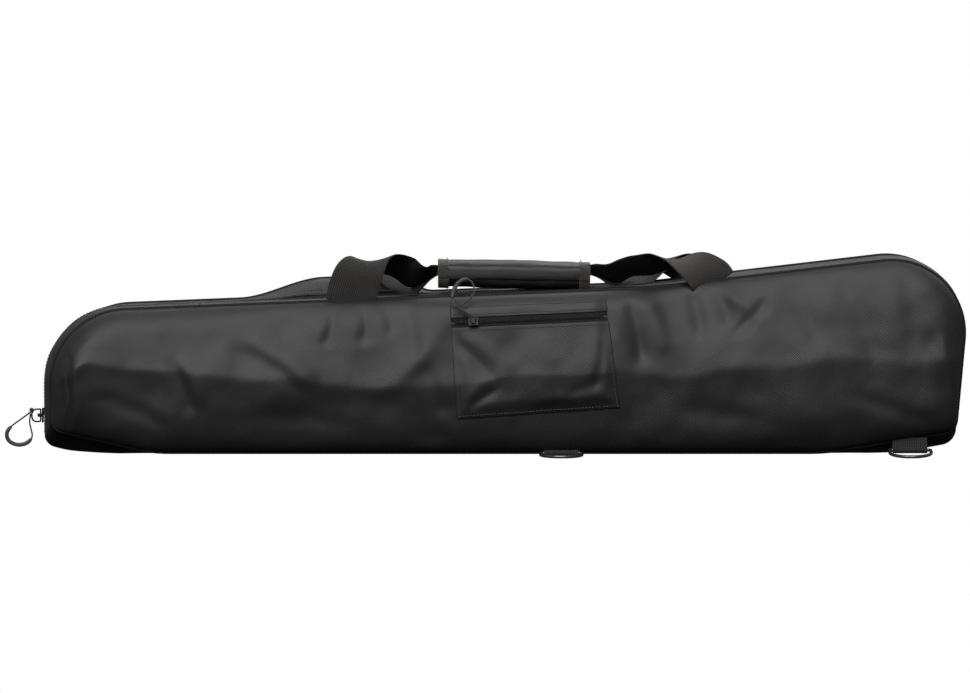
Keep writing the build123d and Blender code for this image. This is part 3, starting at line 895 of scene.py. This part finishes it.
def place_zip_piece(piece, zone, side, slot, nodes=()):
    """The mouth's tape and teeth ride on the mouth; its cloth and the pieces elsewhere stay where they
    are.
    """
    body = "mouth_" + side
    if nodes:
        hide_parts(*nodes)
    if zone == "mouth" and slot == "shell_fabric":
        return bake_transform(piece)
    if zone == "mouth":
        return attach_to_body(piece, body)
    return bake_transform(piece)


def tooth_places(first, last, sign):
    """Places of the teeth on one side of the zip; the two sides stand half a pitch apart."""
    flat = gusset_surface(sign * TOOTH_Y, ZIP_DEPTH, 0.0)[samples(first, last)][:, [0, 2]]
    reach = distances(flat)
    places = []
    shift = 0.0 if sign < 0 else TOOTH_PITCH / 2
    for s in np.arange(TOOTH_PITCH / 2 + shift, reach[-1] - TOOTH_PITCH / 2, TOOTH_PITCH):
        x, z = row_at(s, reach, flat)
        dx, dz = row_at(s + 1, reach, flat) - row_at(s - 1, reach, flat)
        length = hypot(dx, dz)
        ahead = np.array([dx / length, 0, dz / length])
        out = np.array([ahead[2], 0, -ahead[0]])
        places.append((np.array([x, sign * TOOTH_Y, z]), np.array([0, 1.0, 0]), ahead, out))
    return places


def zip_sheet(name, span, reach, sign, lift, material, thickness, wrinkle=WRINKLE):
    """Strip along the zip on one side, between two distances from the middle plane."""
    near, far = (sign * y for y in reach)
    sheet = gusset_sheet(name, *span, near, far, lift, material, wrinkle)
    if sign > 0:
        sheet.data.flip_normals()
    return thicken(sheet, thickness)


def zip_stitches(label, sign, span, inset):
    """Row of stitches along a gusset strip, the given distance from its edge at the zip."""
    points = gusset_surface(sign * (ZIP_SLOT_HALF + inset), STITCH_LIFT)
    normals = rim_normals(points[:, [0, 2]])
    outwards = np.column_stack([normals[:, 0], np.zeros(COUNT), normals[:, 1]])
    picks = samples(*span)
    return stitches(f"zip_stitches_{label}_{int(inset)}", points[picks], outwards[picks])


def main_zip():
    for zone, span in ZONES.items():
        cad = "mouth" if zone == "mouth" else "zip"
        for side, sign in (("front", -1), ("back", 1)):
            label = f"{zone}_{side}"
            strip = zip_sheet("zip_strip_" + label, span, STRIP_SPAN, sign, 0, GUSSET, GUSSET_CLOTH)
            place_zip_piece(strip, zone, side, "shell_fabric", [f"{cad}_gusset_{side}"])
            name = "zip_tape_" + label
            tape = zip_sheet(name, span, TAPE_SPAN, sign, ZIP_DEPTH, TAPE, TAPE_CLOTH, 0.0)
            place_zip_piece(tape, zone, side, "zip_tape", [f"{cad}_tape_{side}"])
            places = tooth_places(*span, sign)
            teeth = join_copies("zip_coil_" + label, lump(*TOOTH), places, TEETH)
            place_zip_piece(teeth, zone, side, "zip_teeth", [f"{cad}_teeth_{side}"])
            for inset in ZIP_STITCH_INSETS:
                row = zip_stitches(label, sign, span, inset)
                place_zip_piece(row, zone, side, "shell_fabric")


# ------------------------------------------------------------------ zip pulls


def nurbs(name, route, radius, material):
    """Round cord along a NURBS curve with these control points, in mm."""
    curve = bpy.data.curves.new(name, "CURVE")
    curve.dimensions = "3D"
    spline = curve.splines.new("NURBS")
    spline.points.add(len(route) - 1)
    for point, (x, y, z) in zip(spline.points, route):
        point.co = (x * MM, y * MM, z * MM, 1)
    spline.order_u = 3
    spline.use_endpoint_u = True
    spline.resolution_u = 10
    curve.bevel_depth = radius * MM
    curve.bevel_resolution = 3
    curve.use_fill_caps = True
    curve.materials.append(material)
    piece = bpy.data.objects.new(name, curve)
    bpy.context.scene.collection.objects.link(piece)
    return piece


def nurbs_line(route):
    """Points along the cord's smooth line, in mm."""
    bare = nurbs("line", route, 0, CORD)
    graph = bpy.context.evaluated_depsgraph_get()
    mesh = bpy.data.meshes.new_from_object(bare.evaluated_get(graph))
    line = np.array([v.co for v in mesh.vertices]) / MM
    bpy.data.objects.remove(bare)
    return line


MAIN_CORD = [
    (-463.5, -8.4, 40.0),
    (-472.0, -9.0, 33.5),
    (-481.0, -9.4, 27.5),
    (-487.8, -9.6, 20.5),
    (-486.4, -9.6, 11.6),
    (-477.5, -9.4, 7.2),
    (-468.0, -9.2, 8.6),
    (-461.8, -9.0, 15.0),
    (-463.6, -8.8, 23.0),
    (-465.6, -8.6, 31.0),
    (-463.9, -8.4, 38.4),
]
MAIN_GRIP = (0.27, 0.72)
POCKET_CORD = [
    (-51.0, -89.7, 146.0),
    (-53.6, -86.0, 152.4),
    (-52.0, -80.3, 162.8),
    (-45.5, -75.8, 171.0),
    (-37.5, -75.0, 172.4),
    (-32.0, -78.4, 166.2),
    (-32.6, -83.4, 157.2),
    (-39.2, -87.4, 149.9),
    (-46.6, -89.6, 146.2),
]
POCKET_GRIP = (0.13, 0.5)


CORD_RADIUS = 0.8
GRIP_RINGS = 34
GRIP_RADII = (1.35, 2.0)  # at its ends and in its middle
GRIP_TAPER = 0.12  # share of its length over which it swells
GRIP_RIBS = (0.07, 15)  # height of its ribs and how many it has


def pull_on_cord(name, route, grip_span, body, grip_node, cord_node):
    """Thin cord loop with a moulded crescent grip on part of it."""
    line = nurbs_line(route)
    reach = distances(line)
    length = reach[-1]
    piece = nurbs(name + "_cord_loop", route, CORD_RADIUS, CORD)
    share = np.linspace(0, 1, GRIP_RINGS)
    stops = (grip_span[0] + (grip_span[1] - grip_span[0]) * share) * length
    sleeve = np.array([row_at(s, reach, line) for s in stops])
    thin, thick = GRIP_RADII
    swell = thin + (thick - thin) * np.clip(np.minimum(share, 1 - share) / GRIP_TAPER, 0, 1) ** 0.5
    swell = swell + GRIP_RIBS[0] * np.cos(share * 2 * pi * GRIP_RIBS[1])
    grip = rod(name + "_crescent_grip", sleeve, swell, GRIP, sides=14)
    attach(grip, body, [grip_node])
    attach(piece, body, [cord_node])


def zip_pulls():
    pull_on_cord("main_pull", MAIN_CORD, MAIN_GRIP, "main_pull", "main_zip_grip", "main_zip_cord")
    pull_on_cord("pocket_pull", POCKET_CORD, POCKET_GRIP, "pocket_pull", "pocket_grip", "pocket_cord")


# ------------------------------------------------------------------ pocket

# Corners of the pocket, mm from the left, and how its top follows the seam.
POCKET_TOP = (-56.0, 95.0)
POCKET_BOTTOM = ((-49.0, 37.0), (109.0, 48.0))
POCKET_TOP_INSET = 6.0
POCKET_ZIP_INSET = 24.0
POCKET_TAPE_HALF = 4.5
POCKET_PUFF = 4.6
POCKET_EDGE = 1.0  # height of its sewn edges over the panel
POCKET_SHOULDER = 0.14  # share of its height over which it rises to its full puff
POCKET_ASPECT = 1.55
POCKET_CLOTH = 0.9
POCKET_TAPE_LIFT = -1.1
POCKET_TAPE_TUCK = 0.02
POCKET_SLIT_HALF = 0.8
POCKET_COIL = (4.2, 1.0, 1.8)
POCKET_COIL_SPAN = (0.03, 0.97)
POCKET_OUT = (0, -0.95, 0.32)  # outward direction of the cloth along the zip
# Rows of stitches, as shares of the pocket's width and height.
POCKET_STITCH_SPAN = (0.01, 0.99)
POCKET_STITCH_SIDE = 0.018
POCKET_STITCH_BOTTOM = 0.025
POCKET_STITCH_TOP = 0.97
POCKET_STITCH_ZIP = 0.028
POCKET_FOLDS = [
    ((-54, 112), (-8, 70), 6, -2.0),
    ((-44, 120), (4, 84), 7, 1.5),
    ((-40, 44), (-6, 66), 5, -1.9),
    ((-46, 54), (-10, 76), 6, 1.3),
    ((-50, 96), (-44, 52), 5, -1.4),
    ((92, 124), (84, 66), 5, -1.8),
    ((102, 110), (98, 60), 4, -1.5),
    ((30, 118), (44, 88), 8, 1.2),
    ((56, 60), (96, 72), 6, -1.2),
    ((20, 50), (70, 60), 7, 1.0),
]


def pocket_point(u, v):
    """Place on the pocket: u across, v from the bottom edge up to its top edge."""
    (left_x, left_z), (right_x, right_z) = POCKET_BOTTOM
    bottom = np.array([left_x + (right_x - left_x) * u, left_z + (right_z - left_z) * u])
    x = POCKET_TOP[0] + (POCKET_TOP[1] - POCKET_TOP[0]) * u
    top = np.array([x, top_z(x) - POCKET_TOP_INSET])
    return bottom * (1 - v) + top * v


def pocket_rise(x, z, u, v):
    """Height of the pocket's cloth over the panel."""
    edge = np.minimum.reduce([u * POCKET_ASPECT, (1 - u) * POCKET_ASPECT, v, 1.2 - v])
    relief = np.zeros_like(x)
    for start, end, width, height in POCKET_FOLDS:
        length, along, aside = beside_fold(x, z, start, end)
        aside = aside + 3 * np.sin(along / 18)
        ends = np.clip(np.minimum(along, length - along) / (0.3 * length) + 0.3, 0, 1)
        relief += height * ends * np.exp(-((aside / width) ** 2))
    return POCKET_EDGE + ease(edge / POCKET_SHOULDER) * (POCKET_PUFF - POCKET_EDGE + relief)


def pocket_patch_grid(v0, v1, rows, columns=64, lift=0.0, u0=0.0, u1=1.0):
    """Grid of points on the pocket's cloth, lifted off it by lift."""
    u, v = np.meshgrid(np.linspace(u0, u1, columns), np.linspace(v0, v1, rows))
    places = np.array([[pocket_point(a, b) for a, b in zip(ru, rv)] for ru, rv in zip(u, v)])
    x, z = places[..., 0], places[..., 1]
    y = -PANEL_Y - panel_height(x, z) - pocket_rise(x, z, u, v) - lift
    return np.stack([x, y, z], axis=2)


def pocket_v(u, inset):
    """v of a line the given distance below the top seam."""
    top, bottom = pocket_point(u, 1)[1], pocket_point(u, 0)[1]
    return 1 - (inset - POCKET_TOP_INSET) / (top - bottom)


def seam_line(points, lift=0.5):
    """A line of (x, z) on the pocket's cloth with its outward directions."""
    line = [pocket_patch_grid(v, v, 1, 1, lift=lift, u0=u, u1=u)[0, 0] for u, v in points]
    return line, [(0, -1.0, 0.15)] * len(line)


def pocket():
    low, high = POCKET_ZIP_INSET + POCKET_TAPE_HALF, POCKET_ZIP_INSET - POCKET_TAPE_HALF
    v_low, v_high = pocket_v(0.5, low), pocket_v(0.5, high)
    patch = grid_object("pocket_cloth", pocket_patch_grid(0, v_low, 40), SHELL)
    attach(thicken(patch, POCKET_CLOTH, 1), "bag", ["pocket_patch"])
    strip = grid_object("pocket_top_cloth", pocket_patch_grid(v_high, 1.0, 12), SHELL)
    covered = ["pocket_top_strip", "pocket_end_stays"]
    attach(thicken(strip, POCKET_CLOTH, 1), "bag", covered)
    tapes = {
        "lower": (v_low - POCKET_TAPE_TUCK, pocket_v(0.5, POCKET_ZIP_INSET + POCKET_SLIT_HALF)),
        "upper": (pocket_v(0.5, POCKET_ZIP_INSET - POCKET_SLIT_HALF), v_high + POCKET_TAPE_TUCK),
    }
    for side, (v0, v1) in tapes.items():
        grid = pocket_patch_grid(v0, v1, 5, lift=POCKET_TAPE_LIFT)
        tape = thicken(grid_object("pocket_tape_" + side, grid, TAPE), TAPE_CLOTH)
        attach(tape, "bag", ["pocket_zip_tape_" + side])
    pocket_coil()
    pocket_stitches(v_low, v_high)


def pocket_coil():
    u0, u1 = POCKET_COIL_SPAN
    v = pocket_v(0.5, POCKET_ZIP_INSET)
    line = pocket_patch_grid(v, 1, 1, 120, lift=-1.0, u0=u0, u1=u1)[0]
    places = []
    for here, after in zip(line, line[1:]):
        ahead = (after - here) / np.linalg.norm(after - here)
        places.append((here, np.cross(POCKET_OUT, ahead), ahead, np.array(POCKET_OUT)))
    coil = join_copies("pocket_coil", lump(*POCKET_COIL), places, TEETH)
    attach(coil, "bag", ["pocket_zip_coil"])


def pocket_stitches(v_low, v_high):
    span = np.linspace(*POCKET_STITCH_SPAN, 60)
    rows = {
        "bottom": [(u, POCKET_STITCH_BOTTOM) for u in span],
        "left": [(POCKET_STITCH_SIDE, v) for v in span * v_low],
        "right": [(1 - POCKET_STITCH_SIDE, v) for v in span * v_low],
        "under_zip": [(u, v_low - POCKET_STITCH_ZIP) for u in span],
        "over_zip": [(u, v_high + POCKET_STITCH_ZIP) for u in span],
        "top": [(u, POCKET_STITCH_TOP) for u in span],
    }
    for name, points in rows.items():
        row = stitches("pocket_stitches_" + name, *seam_line(points))
        attach(row, "bag", [])


# ------------------------------------------------------------------ handles

WRAP_SPAN = (-67.0, 80.0)
WRAP_Z = 174.6
WRAP_HALF_WIDTH = 27.0
WRAP_HALF_HEIGHT = 11.8
WRAP_SPLIT_Z = 177.5
WRAP_SQUARE = 0.62
WRAP_SAG = 3.5
WRAP_TIP = -0.022
WRAP_PINCH = 0.5
WRAP_WRINKLE = 0.6
WRAP_LIP = 0.42  # how far the flap laps over the lower half, in radians
WRAP_CLOTH = 2.2
FLAP_CLOTH = 2.0
BINDING_WIDTH = 10
BINDING_CLOTH = 0.9
BINDING_LIFT = 1.1
BINDING_STITCH_INSET = 1.6
GRIP_WEBBING_Z = WRAP_Z + 1.05
GRIP_WEBBING_WIDTH = 42
BACK_DROP = 2.1

# Stations of each front leg: centre, width direction, width, and how far the back leg's station
# is shifted along x and z from the mirror image, so that the two straps lie one over the other.
NARROW_LEG = [
    ((-152, -61.5, 147.5), (1, 0, 0.04), 49, (0, 0)),
    ((-149, -62.0, 161.0), (1, -0.05, 0.03), 49, (2, 0)),
    ((-142, -59.0, 177.0), (0.98, -0.12, 0.08), 49, (5, -2)),
    ((-131, -51.0, 187.5), (0.92, -0.28, 0.14), 48, (6, -4)),
    ((-119, -38.0, 187.0), (0.62, -0.62, 0.24), 48, (5, -7)),
    ((-104, -25.0, 180.0), (0.18, -0.78, 0.46), 47, (2, -10)),
    ((-86, -14.0, 170.5), (0, -0.85, 0.45), 45, (0, -3)),
    ((-66, 0.0, GRIP_WEBBING_Z), (0, -1, 0), GRIP_WEBBING_WIDTH, (0, -BACK_DROP)),
]
WIDE_LEG = [
    ((201, -61.5, 165.0), (0.98, 0, 0.17), 45, (0, 0)),
    ((193, -61.5, 175.0), (0.86, 0.28, 0.28), 46, (-8, 0)),
    ((180, -56.0, 184.5), (0.68, 0.6, 0.34), 48, (-14, -2)),
    ((165, -48.0, 189.5), (0.55, 0.8, 0.08), 49, (-16, -4)),
    ((150, -39.0, 187.5), (0.4, 0.85, -0.3), 49, (-12, -5)),
    ((134, -30.0, 182.5), (0.18, 0.88, -0.46), 48, (-6, -6)),
    ((116, -20.5, 178.5), (0, 0.9, -0.42), 46, (-2, -5)),
    ((98, -12.0, 173.0), (0, 0.88, -0.42), 45, (0, -1)),
    ((79, 0.0, GRIP_WEBBING_Z), (0, 1, 0), GRIP_WEBBING_WIDTH, (0, -BACK_DROP)),
]


def smooth_rows(values, count):
    """Catmull-Rom interpolation of the rows of an array."""
    values = np.asarray(values, float)
    padded = np.vstack([2 * values[0] - values[1], values, 2 * values[-1] - values[-2]])
    rows = []
    for t in np.linspace(0, len(values) - 1 - 1e-9, count):
        i = int(t)
        f = t - i
        a, b, c, d = padded[i : i + 4]
        square, cube = 2 * a - 5 * b + 4 * c - d, 3 * b - a - 3 * c + d
        rows.append(0.5 * (2 * b + (c - a) * f + square * f**2 + cube * f**3))
    return np.array(rows)


def webbing_ribbon(name, stations, count=56, across_count=11, thickness=1.5, curl=2.0):
    """Strap along its stations, slightly cupped, with its width and length as UV."""
    rows = smooth_rows([(*centre, *across, width) for centre, across, width, _ in stations], count)
    centres, widths = rows[:, :3], rows[:, 6]
    along = np.gradient(centres, axis=0)
    along /= np.linalg.norm(along, axis=1)[:, None]
    across = rows[:, 3:6] - along * (rows[:, 3:6] * along).sum(1)[:, None]
    across /= np.linalg.norm(across, axis=1)[:, None]
    out = np.cross(along, across)
    steps = np.linspace(-0.5, 0.5, across_count)
    grid = centres[:, None] + across[:, None] * (widths[:, None] * steps[None])[..., None]
    cup = curl * (4 * steps**2)
    grid = grid - out[:, None] * cup[None, :, None]
    piece = grid_object(name, grid, WEBBING)
    reach = distances(centres) * MM
    layer = piece.data.uv_layers.new(name="strap")
    for face in piece.data.polygons:
        for corner in face.loop_indices:
            r, c = divmod(piece.data.loops[corner].vertex_index, across_count)
            layer.data[corner].uv = (steps[c] * widths[r] * MM, reach[r])
    return thicken(piece, thickness, 1, offset=0.0)


def back_leg(stations):
    """Mirror image of a front leg, shifted to pass under it where the two meet."""
    return [
        ((x + dx, -y, z + dz), (wx, -wy, wz), width, (dx, dz))
        for (x, y, z), (wx, wy, wz), width, (dx, dz) in stations
    ]


def handles():
    for end, stations in (("narrow", NARROW_LEG), ("wide", WIDE_LEG)):
        for side, sign in (("front", -1), ("back", 1)):
            route = stations if sign < 0 else back_leg(stations)
            strap = webbing_ribbon(f"handle_{side}_{end}_strap", route)
            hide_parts(f"handle_{side}_{end}_leg")
            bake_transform(strap)
    stops = np.linspace(WRAP_SPAN[0] - 3, WRAP_SPAN[1] + 3, 5)
    for side, z in (("front", GRIP_WEBBING_Z), ("back", GRIP_WEBBING_Z - BACK_DROP)):
        route = [((x, 0, z), (0, -1, 0), GRIP_WEBBING_WIDTH, (0, 0)) for x in stops]
        strap = webbing_ribbon(f"handle_{side}_grip_strap", route, count=20, curl=0.0)
        attach(strap, "handle", [f"handle_{side}_grip_webbing"])


def wrap_oval(angle, grow, x=0.0):
    """Point of the wrap's squared oval; its lower half hangs deeper and it tips to the wide end."""
    squared = [np.sign(v) * abs(v) ** WRAP_SQUARE for v in (cos(angle), sin(angle))]
    height = WRAP_HALF_HEIGHT + (WRAP_SAG if squared[1] < 0 else 0) + grow
    return -squared[0] * (WRAP_HALF_WIDTH + grow), WRAP_Z + WRAP_TIP * x + squared[1] * height


def wrap_sheet(name, start, stop, grow, span, material, rows=26, columns=60):
    """Part of the wrap between two angles, measured from the front over the top."""
    length = WRAP_SPAN[1] - WRAP_SPAN[0]
    grid = []
    for angle in np.linspace(start, stop, rows):
        line = []
        for x in np.linspace(*span, columns):
            pinch = WRAP_PINCH * cos((x - sum(WRAP_SPAN) / 2) / length * 2 * pi)
            bump = WRAP_WRINKLE * noise_at(x, 40 * angle, 0, 17, 7) + pinch
            line.append((x, *wrap_oval(angle, grow + bump, x)))
        grid.append(line)
    return grid_object(name, np.array(grid), material)


def wrap():
    """Padded lower half and upper flap, each with a binding and a stitch row at both ends."""
    split = np.arcsin((WRAP_SPLIT_Z - WRAP_Z) / WRAP_HALF_HEIGHT)
    back = -pi - split + 0.02
    lip = split - WRAP_LIP
    lower = wrap_sheet("handle_wrap_cloth", split - 0.06, back, -0.9, WRAP_SPAN, WRAP)
    attach(thicken(lower, WRAP_CLOTH, 1, offset=1.0), "handle", ["handle_wrap"])
    upper = wrap_sheet("wrap_flap_cloth", lip, pi - split, 0.5, WRAP_SPAN, WRAP)
    attach(thicken(upper, FLAP_CLOTH, 1), "wrap_flap", ["wrap_flap"])
    halves = [
        ("lower", split - 0.08, back, 0.0, "handle"),
        ("upper", lip, pi - split, BINDING_LIFT, "wrap_flap"),
    ]
    for label, x, inwards in (("narrow", WRAP_SPAN[0], 1), ("wide", WRAP_SPAN[1], -1)):
        for half in halves:
            wrap_end(label, x, inwards, *half)


def wrap_end(label, x, inwards, name, start, stop, grow, body):
    """Binding over one end of one half of the wrap, and the stitches beside it."""
    inner = x + BINDING_WIDTH * inwards
    edge = sorted((x - 0.4 * inwards, inner))
    band = wrap_sheet(f"wrap_binding_{name}_{label}", start, stop, grow, edge, BINDING, 26, 8)
    attach(thicken(band, BINDING_CLOTH), body, [])
    beside = inner - BINDING_STITCH_INSET * inwards
    angles = np.linspace(start + 0.12 * np.sign(stop - start), stop, 40)
    line = [(beside, *wrap_oval(angle, grow + BINDING_CLOTH, beside)) for angle in angles]
    outwards = [(0, -cos(angle), sin(angle)) for angle in angles]
    row = stitches(f"wrap_stitches_{name}_{label}", line, outwards)
    attach(row, body, [])


# ------------------------------------------------------------------ tabs of the D-rings

D_RINGS = {"middle": (52.0, 3.4), "wide_end": (389.0, 6.4)}
D_BAR_Y = -68.5
TAB_WIDTH = 34.0
TAB_REACH = 2.35  # from the middle of the ring's bar to the middle of the webbing
TAB_TURN = 9
TAB_CLOTH = 1.15
TAB_BELOW = 2.95  # the webbing starts this far under the seam
TAB_ABOVE = 1.4
TAB_START_Y = -57.5
TAB_BEND_Y = -63.0
TAB_END_Y = -64.6


def ring_tabs():
    """Webbing that comes out under the piping, goes round the ring's bar and back to the seam."""
    for name, (x, bar_z) in D_RINGS.items():
        seam = float(seam_heights(np.array([x]))[0][0])
        below = seam - TAB_BELOW
        under = [(TAB_START_Y, below), (TAB_BEND_Y, (below + bar_z - TAB_REACH) / 2)]
        turn = [
            (D_BAR_Y - TAB_REACH * sin(angle), bar_z - TAB_REACH * cos(angle))
            for angle in np.linspace(0, pi, TAB_TURN)
        ]
        top = seam + TAB_ABOVE
        over = [((D_BAR_Y + TAB_END_Y) / 2, (bar_z + TAB_REACH + top) / 2), (TAB_END_Y, top)]
        route = [((x, y, z), (1, 0, 0), TAB_WIDTH, (0, 0)) for y, z in under + turn + over]
        name_of_tab = f"d_ring_tab_{name}_webbing"
        tab = webbing_ribbon(name_of_tab, route, thickness=TAB_CLOTH, curl=0.0)
        attach(tab, "bag", [f"d_ring_tab_{name}"])


# ------------------------------------------------------------------ room, light and camera


def sun(name, azimuth, elevation, spread, power):
    """Wide soft light from far away, in degrees; azimuth 0 is the front."""
    data = bpy.data.lights.new(name, "SUN")
    data.angle = radians(spread)
    data.energy = power
    lamp = bpy.data.objects.new(name, data)
    a, e = radians(azimuth), radians(elevation)
    from_there = Vector((sin(a) * cos(e), -cos(a) * cos(e), sin(e)))
    lamp.rotation_euler = from_there.to_track_quat("Z", "Y").to_euler()
    bpy.context.scene.collection.objects.link(lamp)


FLOOR = 400.0  # half its side, m
# Brightness of the sky, from under the horizon to over it.
SKY = {"From Min": -0.25, "From Max": 0.1, "To Min": 0.02, "To Max": 0.24}
SUNS = {"softbox": (-10, 38, 40, 4.6), "back_fill": (160, 48, 60, 1.3)}
WHITE = (1, 1, 1, 1)
# The floor only shines evenly, so that nothing dims it.
FLOOR_FINISH = {
    "Base Color": (0, 0, 0, 1),
    "Specular IOR Level": 0.0,
    "Emission Color": WHITE,
    "Emission Strength": 1.0,
}


def studio():
    """White floor without shadows, dim even sky, and a soft light on each side."""
    mesh = bpy.data.meshes.new("floor")
    corners = [(-FLOOR, -FLOOR, 0), (FLOOR, -FLOOR, 0), (FLOOR, FLOOR, 0), (-FLOOR, FLOOR, 0)]
    mesh.from_pydata(corners, [], [(0, 1, 2, 3)])
    floor = bpy.data.objects.new("floor", mesh)
    bpy.context.scene.collection.objects.link(floor)
    material, _, _, bsdf = shader("pale_floor")
    set_inputs(bsdf, FLOOR_FINISH)
    mesh.materials.append(material)
    floor.visible_diffuse = False
    floor.visible_glossy = False
    world = bpy.data.worlds.new("studio")
    world.use_nodes = True
    nodes, links = world.node_tree.nodes, world.node_tree.links
    place = node(nodes, "ShaderNodeTexCoord")
    apart = node(nodes, "ShaderNodeSeparateXYZ")
    links.new(place.outputs["Generated"], apart.inputs["Vector"])
    sky = node(nodes, "ShaderNodeMapRange")
    set_inputs(sky, SKY)
    links.new(apart.outputs["Z"], sky.inputs["Value"])
    links.new(sky.outputs["Result"], nodes["Background"].inputs["Strength"])
    nodes["Background"].inputs["Color"].default_value = WHITE
    bpy.context.scene.world = world
    for name, place in SUNS.items():
        sun(name, *place)
    bpy.context.scene.view_settings.view_transform = "Standard"


VIEW_CENTRE = Vector((-0.0217, -0.061, 0.1062))
VIEW_WIDTH = 0.9377
VIEW_DISTANCE = 8.0
VIEW_ELEVATION = 3.0
SENSOR = 36


def camera():
    data = bpy.data.cameras.new("camera")
    data.sensor_width = SENSOR
    data.lens = SENSOR * VIEW_DISTANCE / VIEW_WIDTH
    eye = bpy.data.objects.new("camera", data)
    angle = radians(VIEW_ELEVATION)
    away = Vector((0, -cos(angle), sin(angle)))
    eye.location = VIEW_CENTRE + away * VIEW_DISTANCE
    eye.rotation_euler = (-away).to_track_quat("-Z", "Y").to_euler()
    bpy.context.scene.collection.objects.link(eye)
    bpy.context.scene.camera = eye


# ------------------------------------------------------------------ making it all

camera()
studio()
dress_cad_nodes()
zip_pulls()
side_panels()
piping_tubes()
gusset_strips()
main_zip()
pocket()
handles()
wrap()
ring_tabs()
